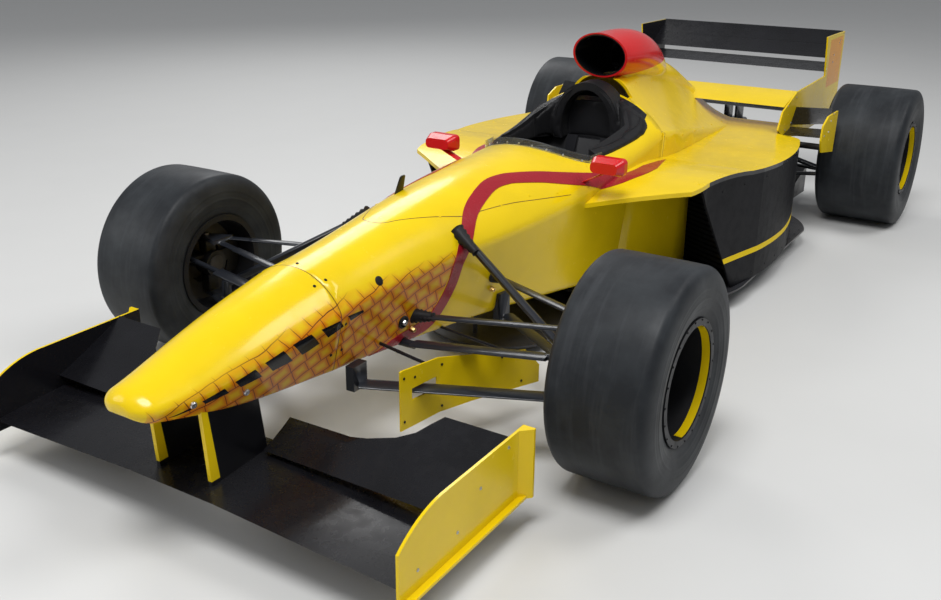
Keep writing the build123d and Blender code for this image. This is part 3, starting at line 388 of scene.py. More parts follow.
def pylonZones(finish, shade, x, station, z):
    # a plain yellow band down each pylon's leading edge
    front = -0.868 - (z - 0.146) * 0.067
    band = (station < front + 0.030 - (z - 0.146) * 0.05) * (z < 0.375) * (z > 0.165)
    return finish.mix(band, shade, "lemon")


lemonPaint = gloss("lemonPaint", "lemon")
nosePaint = gloss("nosePaint", "lemon", zones=nosePattern)
tubPaint = gloss("tubPaint", "lemon", zones=tubZones)
coverPaint = gloss("coverPaint", "lemon", zones=ductDark)
intakePaint = gloss("intakePaint", "poppy", zones=ductDark)
deckPaint = gloss("deckPaint", "lemon", zones=deckZones)
flankPaint = gloss("flankPaint", "ink", 0.42, 0.0, 0.4, flankZones, shine=0.08)
platePaint = gloss("platePaint", "lemon", zones=plateZones)
boardPaint = gloss("boardPaint", "lemon", zones=boardZones)
pylonPaint = gloss("pylonPaint", "ink", 0.3, 0.12, 0.4, pylonZones, shine=0.28)
crimsonPaint = gloss("crimsonPaint", "crimson", 0.24)
inkPaint = gloss("inkPaint", "ink", 0.26, 0.15, 0.4, shine=0.28)
legPaint = gloss("legPaint", (0.014, 0.016, 0.021), 0.30, 0.3)
seamLine = gloss("seamLine", "umber", 0.5, 0.0)
darkComposite = wovenComposite("darkComposite")
castMetal = metal("castMetal", (0.36, 0.36, 0.37), 0.45, 60.0)
darkCast = metal("darkCast", (0.06, 0.06, 0.064), 0.45, 60.0)
machinedMetal = metal("machinedMetal", (0.58, 0.58, 0.60), 0.28)
brassMetal = metal("brassMetal", (0.62, 0.42, 0.16), 0.3)
rimMetal = metal("rimMetal", (0.020, 0.020, 0.023), 0.45, 90.0, 0.6)
discMetal = metal("discMetal", (0.07, 0.066, 0.062), 0.5, 240.0, 0.6)
blackBolt = metal("blackBolt", (0.03, 0.03, 0.032), 0.4)


def rubberFinish():
    # slick tread with scuffs that run round the tyre and a sheen where it has worn
    finish = Finish("tyreRubber", Specular_IOR_Level=0.22)
    x, station, z = finish.axes()
    grain = finish.noise(420.0, 4.0, 0.7)
    bands = finish.noise(1.0, 5.0, 0.6, finish.join(x * 38.0, station * 3.0, z * 3.0))
    patches = finish.noise(7.0, 4.0, 0.6).ramp(0.38, 0.72)
    base = finish.mix(patches, "rubber", "rubberWorn")
    finish.paint(bands.ramp(0.5, 0.8) * 0.4, base, (0.066, 0.070, 0.078))
    finish.put("Roughness", grain * 0.12 + bands * 0.2 + 0.36 - patches * 0.06)
    finish.bump(grain * 0.4 + bands, 0.22, 0.0012)
    return finish


def leatherFinish(name, tint, grainSize=520.0):
    finish = Finish(name, Specular_IOR_Level=0.22, Sheen_Weight=0.03)
    pebbles = finish.make("ShaderNodeTexVoronoi", {"feature": "F1"}, {
        "Vector": finish.place(), "Scale": grainSize}, output="Distance")
    creases = finish.noise(24.0, 5.0, 0.6)
    worn = finish.noise(7.0, 3.0).ramp(0.45, 0.8)
    finish.paint(worn, tint, darker(tint, 1.9))
    finish.put("Roughness", pebbles * 0.2 + 0.40 - worn * 0.08)
    finish.bump(pebbles * 0.6 + creases, 0.35, 0.0012)
    return finish


def webbingFinish():
    # narrow woven tape: ribs across, a plain edge thread
    finish = Finish("webbing", Roughness=0.8, Specular_IOR_Level=0.2)
    x, station, z = finish.axes()
    ribs = (z + station * 0.4).wave(0.0016).ramp(-0.5, 0.5)
    threads = x.wave(0.0022).ramp(-0.4, 0.4)
    finish.paint(ribs * threads, (0.007, 0.007, 0.009), (0.018, 0.019, 0.023))
    finish.bump(ribs + threads, 0.4, 0.0005)
    return finish


def clearFinish():
    # thin clear sheet with dust and light scratches
    finish = Finish("clearSheet", Transmission_Weight=0.94, IOR=1.15, Specular_IOR_Level=0.35)
    haze = finish.noise(40.0, 5.0, 0.7).ramp(0.45, 0.8)
    finish.paint(haze, (0.62, 0.65, 0.67), (0.42, 0.43, 0.44))
    finish.put("Roughness", haze * 0.16 + 0.05)
    return finish


def mirrorZones(finish, shade, x, station, z):
    # the pod's rear face carries a glass
    across, height = livery["mirrorAt"]
    halfWidth, halfHeight = livery["mirrorHalf"]
    inGlass = (abs(abs(x) - across) < halfWidth) * (abs(z - height) < halfHeight)
    glass = (station > livery["mirrorFace"]) * inGlass
    finish.put("Metallic", glass)
    return finish.mix(glass, shade, (0.72, 0.75, 0.78))


def coreFinish():
    # radiator core: rows of thin fins between flat tubes
    finish = Finish("coreFins", Metallic=0.7)
    x, station, z = finish.axes()
    fins = x.wave(0.003).ramp(-0.5, 0.5)
    tubes = z.wave(0.010).ramp(0.1, 0.5)
    dirt = finish.noise(20.0, 5.0).ramp(0.4, 0.8)
    finish.paint(fins * (1 - tubes), (0.015, 0.015, 0.016), (0.12, 0.12, 0.122))
    finish.put("Roughness", dirt * 0.3 + 0.45)
    finish.bump(fins + tubes, 0.5, 0.002)
    return finish


def woodFinish():
    # laminated skid plank with scrape marks along it
    finish = Finish("plankWood", Specular_IOR_Level=0.3)
    x, station, z = finish.axes()
    plies = z.wave(0.0014).ramp(-0.3, 0.3)
    grain = finish.noise(6.0, 6.0, 0.7, finish.join(x * 22.0, station * 1.2, z * 40.0))
    finish.paint(grain.ramp(0.35, 0.7), (0.20, 0.13, 0.075), (0.075, 0.048, 0.030))
    finish.put("Roughness", grain * 0.3 + 0.5)
    finish.bump(grain + plies, 0.3, 0.0008)
    return finish


def lensFinish():
    finish = Finish("redLens", Coat_Weight=0.6, Coat_Roughness=0.05, Specular_IOR_Level=0.5)
    x, station, z = finish.axes()
    prisms = x.wave(0.005) * z.wave(0.005)
    finish.paint(prisms.ramp(-0.4, 0.4), (0.20, 0.004, 0.004), (0.50, 0.014, 0.012))
    finish.put("Roughness", prisms.ramp(-1.0, 1.0) * 0.1 + 0.12)
    finish.bump(prisms, 0.6, 0.001)
    return finish


tyreRubber = rubberFinish()
blackLeather = leatherFinish("blackLeather", (0.006, 0.006, 0.007))
gripSuede = leatherFinish("gripSuede", (0.013, 0.012, 0.012), 900.0)
seatShell = wovenComposite("seatShell", (0.004, 0.004, 0.005), 0.004, 0.5)
bootRubber = leatherFinish("bootRubber", (0.007, 0.007, 0.008), 300.0)
webbing = webbingFinish()
clearSheet = clearFinish()
mirrorPod = gloss("mirrorPod", "poppy", zones=mirrorZones)
coreFins = coreFinish()
plankWood = woodFinish()
redLens = lensFinish()
buttonRed = gloss("buttonRed", (0.45, 0.02, 0.02), 0.3)
buttonGreen = gloss("buttonGreen", (0.02, 0.20, 0.05), 0.3)
darkGlass = gloss("darkGlass", (0.004, 0.006, 0.007), 0.06, 0.9)

# the slot name that each finish carries, unless a piece names another; put picks the name but keeps it nowhere
for slotName, finishes in {
    "yellow_paint": (lemonPaint, nosePaint, tubPaint, coverPaint, deckPaint, seamLine),
    "red_paint": (crimsonPaint, intakePaint),
    "black_paint": (inkPaint, flankPaint, legPaint),
    "dark_composite": (darkComposite, gripSuede, darkGlass, buttonRed, buttonGreen),
    "machined_metal": (machinedMetal, brassMetal),
    "steel": (blackBolt,),
    "tyre_rubber": (tyreRubber,),
    "padding": (blackLeather, bootRubber),
    "seat_cloth": (webbing,),
}.items():
    for finish in finishes:
        finish.slotName = slotName
print("finishes made")


# meshes
def put(mesh, name, finish, smoothAngle=None, body="car", replaced=(), slotName=None):
    mesh.name = name
    piece = held(mesh, name)
    if not mesh.materials:
        mesh.materials.append(finish.material)
    if smoothAngle is not None:
        mesh.shade_smooth()
        mesh.set_sharp_from_angle(angle=math.radians(smoothAngle))
    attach(piece, body)
    if replaced:
        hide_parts(*replaced)
    slotName = slotName or finish.slotName
    return piece


def meshOf(form, outwards=True):
    mesh = bpy.data.meshes.new("shape")
    if outwards:
        bmesh.ops.recalc_face_normals(form, faces=form.faces)
    form.to_mesh(mesh)
    form.free()
    return mesh


def copyOf(nodeName):
    # a solid's own shape with its loose triangles merged
    form = bmesh.new()
    form.from_mesh(nodes[nodeName].data)
    bmesh.ops.remove_doubles(form, verts=form.verts, dist=0.00002)
    bmesh.ops.dissolve_degenerate(form, edges=form.edges, dist=0.00001)
    return form


def surfaceOf(*shapes):
    # the skin of some nodes or meshes, for points to land on
    points, faces = [], []
    for shape in shapes:
        mesh = nodes[shape].data if isinstance(shape, str) else shape
        first = len(points)
        points += [v.co.copy() for v in mesh.vertices]
        faces += [tuple(first + i for i in p.vertices) for p in mesh.polygons]
    return BVHTree.FromPolygons(points, faces)


def landing(surface, point, facing, reach=0.06):
    # where a point lands on the skin when it is pressed against it
    hit, normal, _, _ = surface.ray_cast(point + facing * reach, -facing, 2.5 * reach)
    if hit is None:
        hit, normal, _, _ = surface.find_nearest(point)
    return hit, normal if normal.dot(facing) > 0 else -normal


def smoothPath(points, perSpan):
    # a curve through the points
    ends = [points[0] * 2 - points[1]] + points + [points[-1] * 2 - points[-2]]
    result = []
    for i in range(1, len(ends) - 2):
        a, b, c, d = ends[i - 1:i + 3]
        for j in range(perSpan):
            t = j / perSpan
            result.append(0.5 * (2 * b + (c - a) * t + (2 * a - 5 * b + 4 * c - d) * t * t
                                 + (3 * b - 3 * c + d - a) * t ** 3))
    return result + [points[-1]]


def gridMesh(rows, backs):
    # a thin closed sheet: rows of points on top and their partners below
    form = bmesh.new()
    top = [[form.verts.new(p) for p in row] for row in rows]
    low = [[form.verts.new(p) for p in row] for row in backs]
    for i in range(len(rows) - 1):
        for j in range(len(rows[0]) - 1):
            form.faces.new((top[i][j], top[i][j + 1], top[i + 1][j + 1], top[i + 1][j]))
            form.faces.new((low[i][j], low[i + 1][j], low[i + 1][j + 1], low[i][j + 1]))
        for j in (0, len(rows[0]) - 1):
            form.faces.new((top[i][j], top[i + 1][j], low[i + 1][j], low[i][j]))
    for i in (0, len(rows) - 1):
        for j in range(len(rows[0]) - 1):
            form.faces.new((top[i][j], low[i][j], low[i][j + 1], top[i][j + 1]))
    return meshOf(form)


def headings(path):
    # the way that the path runs at each of its points
    last = len(path) - 1
    return [path[min(i + 1, last)] - path[max(i - 1, 0)] for i in range(last + 1)]


def ribbonMesh(surface, sign, rows, width, lanes, lift, perSpan, taper):
    # a painted band laid on the skin, as wide as asked at each end; the taper counts points at its tail
    path = smoothPath([spot(*row, sign) for row in rows], perSpan)
    ways = []
    for point in path:
        _, normal, _, _ = surface.find_nearest(point)
        ways.append(normal if normal.dot(Vector((point.x, 0, point.z - 0.3))) > 0 else -normal)
    tops, lows = [], []
    for i, (point, ahead) in enumerate(zip(path, headings(path))):
        outward = sum(ways[max(i - perSpan, 0):i + perSpan + 1], Vector()).normalized()
        side = ahead.cross(outward).normalized()
        share = i / (len(path) - 1)
        half = (width[0] * (1 - share) + width[1] * share) / 2
        half *= min(1.0, (len(path) - i) / taper) if taper else 1.0
        offsets = [side * half * (2 * lane / lanes - 1) for lane in range(lanes + 1)]
        landed = [landing(surface, point + offset, outward) for offset in offsets]
        tops.append([hit + skin * lift for hit, skin in landed])
        lows.append([hit - skin * lift for hit, skin in landed])
    return gridMesh(tops, lows)


for name, nodeName, finish in (
    ("tub", "monocoque", tubPaint), ("noseCone", "nose_cone", nosePaint),
    ("engineCover", "engine_cover", coverPaint), ("intakeShell", "airbox", intakePaint),
    ("podDecks", "sidepod_decks", deckPaint),
    ("podFlanks", "sidepod_flanks", flankPaint), ("midBeam", "mid_beam", lemonPaint),
    ("frontWing", "front_wing", inkPaint), ("rearWing", "rear_wing", inkPaint),
    ("frontLegs", "front_wishbones", legPaint), ("rearLegs", "rear_wishbones", legPaint),
):
    put(meshOf(copyOf(nodeName), False), name, finish, 32, replaced=(nodeName,))
print("shells copied")


def dress(nodeName, finish):
    materials = nodes[nodeName].data.materials
    materials.clear()
    materials.append(finish.material)


for nodeName, finish in {
    "nose_pylons": pylonPaint, "front_endplates": platePaint, "bargeboards": boardPaint,
    "radiators": coreFins, "floor": darkComposite, "plank": plankWood, "diffuser": darkComposite,
    "engine_block": castMetal, "gearbox": castMetal, "rain_light": redLens,
    "rear_endplates": platePaint, "rear_uprights": machinedMetal, "rack_housing": machinedMetal,
    "seat": seatShell, "dash": darkComposite, "windscreen": clearSheet, "mirrors": mirrorPod,
    "steering_rack": legPaint, "knuckle_left": darkCast, "knuckle_right": darkCast,
}.items():
    dress(nodeName, finish)

# the crimson line that runs up the tub's side and back along the deck
stripe = {
    "rows": ((0.110, -0.255, 0.272), (0.130, -0.194, 0.278), (0.143, -0.137, 0.289), (0.152, -0.071, 0.296),
             (0.162, -0.006, 0.311), (0.174, 0.042, 0.354), (0.187, 0.078, 0.411), (0.201, 0.101, 0.481),
             (0.194, 0.145, 0.532), (0.161, 0.219, 0.588), (0.140, 0.295, 0.615), (0.121, 0.406, 0.637),
             (0.128, 0.491, 0.639), (0.148, 0.557, 0.633), (0.178, 0.645, 0.620), (0.211, 0.731, 0.602),
             (0.244, 0.822, 0.583), (0.276, 0.922, 0.562), (0.311, 1.030, 0.547), (0.341, 1.134, 0.556),
             (0.345, 1.249, 0.558), (0.335, 1.400, 0.550)),
    "width": (0.040, 0.062), "lanes": 16, "lift": 0.0022, "perSpan": 20, "taper": 26,
}
seam = {
    "rows": ((0.0, -0.085, 0.616), (0.035, -0.070, 0.614), (0.062, -0.016, 0.615), (0.107, 0.078, 0.608),
             (0.157, 0.198, 0.589), (0.170, 0.272, 0.590), (0.196, 0.413, 0.585), (0.228, 0.558, 0.570),
             (0.262, 0.720, 0.552)),
    "width": (0.0022, 0.0022), "lanes": 1, "lift": 0.0004, "perSpan": 8, "taper": 0,
}
upperSkin = surfaceOf("monocoque", "sidepod_decks")
for sign, side in sides:
    put(ribbonMesh(upperSkin, sign, **stripe), "stripe_" + side, crimsonPaint, 40)
    put(ribbonMesh(upperSkin, sign, **seam), "hatchSeam_" + side, seamLine, 40)
print("stripes laid")


# fasteners: a chamfered head with a sunk socket, set on points that know which way they face
def fastenerTree():
    tree = Growth("fasteners", Radius="Float", Height="Float", Sides="Int", Sunk="Float")
    height = tree.given("Height")
    head = tree.make("GeometryNodeMeshCylinder", {"fill_type": "NGON"}, {
        "Vertices": tree.given("Sides"), "Radius": tree.given("Radius"), "Depth": height})
    up = tree.make("GeometryNodeInputNormal")
    top = tree.make("ShaderNodeSeparateXYZ", values=[up], output=2) > 0.9
    for lift, scale in ((height * 0.4, 0.78), (0.0, 0.55), (height * tree.given("Sunk") * -1.0, 0.9)):
        head = tree.make("GeometryNodeExtrudeMesh", {"mode": "FACES"}, {
            "Mesh": head, "Selection": top, "Offset Scale": lift, "Individual": False})
        top = Wire(tree, head.socket.node.outputs["Top"])
        head = tree.make("GeometryNodeScaleElements", {"domain": "FACE"}, {
            "Geometry": head, "Selection": top, "Scale": scale})
    tree.scatter(head, "Z")
    return tree


fastenerGrowth = fastenerTree()


def fasten(name, places, finish, radius, height, corners=12, sunk=0.5, body="car"):
    mesh = fastenerGrowth.grow(places, Radius=radius, Height=height, Sides=corners, Sunk=sunk,
                               Finish=finish.material)
    put(mesh, name, finish, 30, body)


def onSkin(surface, *groups):
    # a group is a facing and its rows of x, station and z; each lands on the skin, on both sides
    return [landing(surface, spot(*row, sign), Vector((x * sign, along, z)).normalized())
            for (x, along, z), rows in groups for row in rows for sign, _ in sides]


def spaced(start, end, count):
    return [tuple(a + (b - a) * i / (count - 1) for a, b in zip(start, end)) for i in range(count)]


noseSkin = surfaceOf("nose_cone", "monocoque")
fasten("nosePins", onSkin(noseSkin, (aside, ((0.106, -0.912, 0.399), (0.118, -0.751, 0.369)))),
       machinedMetal, 0.009, 0.007, 16, 0.2)
fasten("noseScrews", onSkin(
    noseSkin, ((0.4, 0, 1), ((0.10, -0.452, 0.56), (0.10, -0.408, 0.56))),
    (aside, ((0.155, -0.452, 0.44), (0.155, -0.408, 0.44), (0.148, -0.452, 0.36), (0.148, -0.408, 0.36))),
    (upright, ((0.0, -0.408, 0.6),))), blackBolt, 0.0045, 0.0022)
fasten("tubScrews", onSkin(
    noseSkin, ((0.5, 0, 1), ((0.13, 0.110, 0.62),)),
    ((0.7, 0, 0.7), ((0.20, 0.37, 0.60), (0.22, 0.52, 0.60), (0.25, 0.66, 0.58))),
    ((0.7, 0, 0.8), ((0.253, 0.967, 0.594),)), ((0.6, 0, 0.8), ((0.223, 0.911, 0.609),)),
    (aside, ((0.276, 0.903, 0.443),))), lemonPaint, 0.0042, 0.0016)
fasten("boardRivets", onSkin(surfaceOf("bargeboards"), (aside, (
    (0.306, -0.346, 0.290), (0.306, -0.346, 0.158), (0.313, -0.303, 0.280), (0.330, -0.194, 0.280),
    (0.330, -0.194, 0.150), (0.404, 0.016, 0.240), (0.416, 0.049, 0.234), (0.43, 0.09, 0.14)))),
    blackBolt, 0.0042, 0.002)
fasten("plateScrews", onSkin(surfaceOf("front_endplates", "rear_endplates"), (aside, [
    (x, *place) for x, places in (
        (0.72, ((-0.86, 0.145), (-0.70, 0.150), (-0.60, 0.215), (-0.47, 0.262))),
        (0.515, ((3.115, 0.700), (3.230, 0.722), (3.240, 0.758), (3.330, 0.810), (3.340, 0.822),
                 (3.405, 0.850), (3.190, 0.465), (3.340, 0.480), (2.455, 0.500), (2.545, 0.520),
                 (2.470, 0.610), (2.600, 0.632))),
        (0.712, ((2.395, 0.506), (2.470, 0.512), (2.49, 0.560), (2.53, 0.592))),
    ) for place in places])), machinedMetal, 0.0045, 0.0022)
fasten("coverScrews", onSkin(
    surfaceOf("engine_cover"),
    (aside, [(0.30, 1.475, z) for z in (0.57, 0.62, 0.66, 0.72)]),
    ((1, 0, 0.4), [(0.28, 1.475 + 0.19 * i, 0.60 - 0.012 * i) for i in range(1, 6)]),
    ((1, 0, 0.2), [(0.10, 1.62 + 0.2 * i, 0.80 - 0.02 * i) for i in range(4)])), lemonPaint, 0.0046, 0.0016)
for name, nodeName, finish, radius, height, facing, lines in (
    ("deckScrews", "sidepod_decks", lemonPaint, 0.0042, 0.0014, upright, (
        ((0.585, 1.10, 0.56), (0.655, 1.55, 0.54), 4), ((0.665, 1.75, 0.53), (0.600, 2.22, 0.52), 4),
        ((0.34, 1.50, 0.54), (0.30, 2.30, 0.52), 6))),
    ("flankScrews", "sidepod_flanks", blackBolt, 0.0042, 0.0018, aside, (
        ((0.72, 1.40, 0.110), (0.74, 2.15, 0.110), 7), ((0.72, 1.22, 0.50), (0.74, 2.10, 0.49), 6))),
    ("floorRivets", "floor", blackBolt, 0.0040, 0.0016, upright, (
        ((0.672, 1.46, 0.09), (0.672, 2.28, 0.09), 12),)),
):
    rows = [row for line in lines for row in spaced(*line)]
    fasten(name, onSkin(surfaceOf(nodeName), (facing, rows)), finish, radius, height)
screenArc = {"centre": 1.0605, "radius": 0.2525, "lift": 0.009, "half": 0.205, "rivets": 9, "footScale": 1.03}
screenPlaces = []
for i in range(screenArc["rivets"]):
    x = screenArc["half"] * (2 * i / (screenArc["rivets"] - 1) - 1)
    depth = math.sqrt(screenArc["radius"] ** 2 - x * x)
    below = spot(x * screenArc["footScale"], screenArc["centre"] - depth * screenArc["footScale"], 0.68)
    foot, _ = landing(noseSkin, below, Vector(upright))
    screenPlaces.append((spot(x, screenArc["centre"] - depth, foot.z + screenArc["lift"]),
                         Vector((x, -depth, 0)).normalized()))
fasten("screenRivets", screenPlaces, machinedMetal, 0.0034, 0.0018)
fasten("kingpinNuts", [(spot(0.78, 0.0, z, sign), Vector((0, 0, way)))
                       for sign, _ in sides for z, way in ((0.4175, 1), (0.1975, -1))],
       machinedMetal, 0.0100, 0.0060, 6, 0.3)
gearboxSkin = surfaceOf("gearbox")
fasten("gearboxBolts", [landing(gearboxSkin, spot(0.16, s, z, sign), Vector((sign, 0, 0)), 0.12)
                        for sign, _ in sides for s in (2.12, 2.36, 2.62, 2.86) for z in (0.24, 0.35)],
       machinedMetal, 0.0075, 0.0050, 6, 0.1)
print("fasteners set")


# turned shapes about a line: profile points are distance along it and radius; an open profile starts
# and ends so near the axis that its ends close
nearAxis = 0.0001


def turnedMesh(profile, start, axis, segments, closed=True):
    axis = axis.normalized()
    across = axis.cross(Vector(upright) if abs(axis.z) < 0.9 else Vector(aside)).normalized()
    upward = across.cross(axis)
    form = bmesh.new()
    rings = []
    for angle in turns(segments):
        out = across * math.cos(angle) + upward * math.sin(angle)
        rings.append([form.verts.new(start + axis * u + out * r) for u, r in profile])
    count = len(profile)
    for here, there in zip(rings, rings[1:] + rings[:1]):
        for j in range(count if closed else count - 1):
            k = (j + 1) % count
            form.faces.new((here[j], here[k], there[k], there[j]))
    if not closed:
        bmesh.ops.remove_doubles(form, verts=form.verts, dist=0.00001)
    return meshOf(form)


# rubber boots where the legs and the pushrods enter the tub
boots = {
    "pushrod": ((0.168, 0.132, 0.560), (0.700, 0.000, 0.250), 0.100, 0.027, 0.0135),
    "upperFront": ((0.150, -0.080, 0.350), (0.780, 0.000, 0.410), 0.070, 0.025, 0.014),
    "upperRear": ((0.205, 0.288, 0.375), (0.780, 0.000, 0.410), 0.050, 0.024, 0.014),
}
folds = 5
for label, (inner, outer, length, thick, thin) in boots.items():
    profile = [(0.0, nearAxis), (0.0, thick)]
    for i in range(folds):
        share = (i + 1) / folds
        radius = thick * (1 - share) + thin * share
        profile += [(length * (i + 0.5) / folds, radius * 0.84), (length * share, radius)]
    profile.append((length + 0.002, nearAxis))
    for sign, side in sides:
        start, aim = spot(*inner, sign), spot(*outer, sign)
        put(turnedMesh(profile, start, aim - start, 28, False), label + "Boot_" + side, bootRubber, 70)


def plug(name, row, facing, radius, height, ring=False):
    # a low round plug on the tub's side, with an optional raised ring
    floor = height * 0.3 if ring else height
    profile = [(-0.004, nearAxis), (-0.004, radius), (height * 0.6, radius), (height, radius * 0.88)]
    profile += [(height, radius * 0.72), (floor, radius * 0.66)] if ring else []
    profile.append((floor, nearAxis))
    for (place, normal), (_, side) in zip(onSkin(noseSkin, (facing, (row,))), sides):
        put(turnedMesh(profile, place, normal, 32, False), name + "_" + side, bootRubber, 35)


ringPlace = (0.153, -0.134, 0.348)
plug("sidePlug", (0.152, -0.244, 0.511), (1, 0, 0.6), 0.014, 0.002)
plug("sideRing", ringPlace, aside, 0.020, 0.006, True)
fasten("ringBolts", onSkin(noseSkin, (aside, (ringPlace,))), machinedMetal, 0.010, 0.012, 6, 0.3)
fasten("legEndFittings", onSkin(noseSkin, (aside, ((0.17, -0.09, 0.310), (0.23, 0.285, 0.330)))),
       brassMetal, 0.009, 0.016, 6, 0.3)

# the small blade aerial on the far shoulder
blade = {"foot": (-0.087, 0.186, 0.632), "chord": 0.048, "height": 0.050, "thickness": 0.005, "rake": 0.022,
         "taper": 0.35, "tipCut": 0.25, "corners": 20, "shares": (-0.15, 0.0, 0.35, 0.7, 0.92, 1.0)}
form = bmesh.new()
rows = []
for share in blade["shares"]:
    narrowed = blade["taper"] * max(share, 0) + (blade["tipCut"] if share == 1.0 else 0.0)
    half = blade["chord"] / 2 * (1 - narrowed)
    centre = spot(*blade["foot"]) + Vector((0, blade["rake"] * share, blade["height"] * share))
    rows.append([form.verts.new(centre + Vector((blade["thickness"] / 2 * math.sin(a), half * math.cos(a), 0)))
                 for a in turns(blade["corners"])])
for low, high in zip(rows, rows[1:]):
    for k in range(-1, blade["corners"] - 1):
        form.faces.new((low[k], low[k + 1], high[k + 1], high[k]))
form.faces.new(rows[0])
form.faces.new(rows[-1])
put(meshOf(form), "bladeAerial", inkPaint, 40)

# tyres
tyreShape = {"segments": 144, "shoulder": 0.032, "bulge": 0.006, "ribs": (0.205, 0.235, 0.262),
             "ribRise": 0.0011}


def arcPoints(start, middle, end, count):
    # points of a quadratic curve that leans to the middle point
    return [tuple((1 - t) ** 2 * a + 2 * t * (1 - t) * b + t * t * c for a, b, c in zip(start, middle, end))
            for t in (i / count for i in range(1, count + 1))]


def tyreProfile(tyre):
    half, radius = tyre["width"] / 2, tyre["radius"]
    bead = tyre["rim"] / 2 - 0.008
    shoulder = tyreShape["shoulder"]
    right = [(bead, layout["rimSeat"]), (bead, layout["rimFlange"] - 0.002),
             (bead + 0.004, layout["rimFlange"] + 0.004)]
    belly = (half + tyreShape["bulge"] - 0.004, 0.5 * (radius + layout["rimFlange"]) - 0.02)
    side = arcPoints(right[-1], belly, (half - 0.003, radius - 0.055), 22)
    for u, r in side:
        nearRib = any(abs(r - rib - (radius - 0.317)) < 0.0035 for rib in tyreShape["ribs"])
        right.append((u + (tyreShape["ribRise"] if nearRib else 0.0), r))
    right += arcPoints(right[-1], (half - 0.005, radius - 0.004), (half - shoulder, radius - 0.0012), 10)
    right += [(half * 0.55, radius - 0.0004), (0.0, radius)]
    return right + [(-u, r) for u, r in reversed(right[:-1])]


# a plain yellow arc inside each rim's outer lip, the nuts' locking rings and the lip's bolts
arcBand = {"from": 62.0, "to": -96.0, "inner": 0.026, "outer": 0.004, "radius": 0.1566, "lift": 0.0012,
           "sunk": 0.0008, "steps": 48}
nutRing = {"face": 0.034, "radius": 0.050, "bore": 0.0365, "thickness": 0.010, "sunk": 0.002, "chamfer": 0.004,
           "pins": 6, "pinCircle": 0.066}
rimBolts = {"count": 20, "circle": 0.1725}
nutFoot, nutTop = nutRing["face"] - nutRing["sunk"], nutRing["face"] + nutRing["thickness"]
nutProfile = [(nutFoot, nutRing["bore"]), (nutTop, nutRing["bore"]),
              (nutTop, nutRing["radius"] - nutRing["chamfer"]),
              (nutTop - nutRing["chamfer"], nutRing["radius"]), (nutFoot, nutRing["radius"])]
across = Vector(aside)
for end, tyre in (("front", layout["frontTyre"]), ("rear", layout["rearTyre"])):
    for sign, side in sides:
        tail = end + "_" + side
        body = "wheel_" + tail
        centre = spot(tyre["x"], tyre["station"], tyre["radius"], sign)
        outward = across * sign
        put(turnedMesh(tyreProfile(tyre), centre, across, tyreShape["segments"]), "slick_" + tail,
            tyreRubber, 50, body, ("tyre_" + tail,))
        dress("rim_" + tail, rimMetal)
        dress("hub_" + tail, discMetal)
        lip = tyre["rim"] / 2
        rows, backs = [], []
        for i in range(arcBand["steps"] + 1):
            turn = arcBand["from"] + (arcBand["to"] - arcBand["from"]) * i / arcBand["steps"]
            ray = spoke(math.radians(turn))
            edges = [centre + outward * (lip - inset) for inset in (arcBand["outer"], arcBand["inner"])]
            rows.append([edge + ray * (arcBand["radius"] - arcBand["lift"]) for edge in edges])
            backs.append([edge + ray * (arcBand["radius"] + arcBand["sunk"]) for edge in edges])
        put(gridMesh(rows, backs), "rimArc_" + tail, lemonPaint, 40, body)
        put(turnedMesh(nutProfile, centre, outward, 48), "nutRing_" + tail, machinedMetal, 30, body)
        pins = [(centre + outward * nutRing["face"] + spoke(a) * nutRing["pinCircle"], outward)
                for a in turns(nutRing["pins"])]
        fasten("drivePins_" + tail, pins, machinedMetal, 0.0065, 0.010, 12, 0.3, body)
        bolts = [(centre + outward * lip + spoke(a) * rimBolts["circle"], outward)
                 for a in turns(rimBolts["count"])]
        fasten("rimBolts_" + tail, bolts, blackBolt, 0.0032, 0.0022, 8, 0.3, body)
print("wheels dressed")

# cockpit padding: the solid's own shape, evened out, eased and blown up a little like a stuffed cover
padding = {"coreInset": 0.0015, "voxel": 0.005, "inset": 0.0012, "easing": 6, "pressure": 4.0, "quality": 5,
           "frames": 20, "cap": 0.0055}


def sunkBy(form, depth):
    form.normal_update()
    for vertex in form.verts:
        vertex.co -= vertex.normal * depth


def puff(mesh):
    # a cloth run with air inside; no point moves further than the cap
    holder = held(mesh)
    start = [v.co.copy() for v in mesh.vertices]
    cloth = holder.modifiers.new("air", "CLOTH")
    cloth.settings.use_pressure = True
    cloth.settings.uniform_pressure_force = padding["pressure"]
    cloth.settings.effector_weights.gravity = 0.0
    cloth.settings.quality = padding["quality"]
    cloth.point_cache.frame_start, cloth.point_cache.frame_end = 1, padding["frames"]
    for step in range(1, padding["frames"] + 1):
        scene.frame_set(step)
    ends = [v.co.copy() for v in evaluated(holder).data.vertices]
    holder.modifiers.remove(cloth)
    for vertex, before, after in zip(mesh.vertices, start, ends):
        step = after - before
        vertex.co = before + step * min(1.0, padding["cap"] / max(step.length, 1e-9))
    bpy.data.objects.remove(holder)
    scene.frame_set(1)


even = held(meshOf(copyOf("cockpit_padding"), False))
remesh = even.modifiers.new("even", "REMESH")
remesh.mode, remesh.voxel_size, remesh.use_smooth_shade = "VOXEL", padding["voxel"], True
softMesh = baked(even)
form = bmesh.new()
form.from_mesh(softMesh)
for _ in range(padding["easing"]):
    bmesh.ops.smooth_vert(form, verts=form.verts, factor=0.5, use_axis_x=True, use_axis_y=True,
                          use_axis_z=True)
sunkBy(form, padding["inset"])
form.to_mesh(softMesh)
form.free()
puff(softMesh)
softMesh.materials.clear()
paddingPiece = put(softMesh, "cockpitPadding", blackLeather, replaced=("cockpit_padding",))
paddingPiece.data.shade_smooth()
subdivision = paddingPiece.modifiers.new("smooth", "SUBSURF")
subdivision.levels = subdivision.render_levels = 1

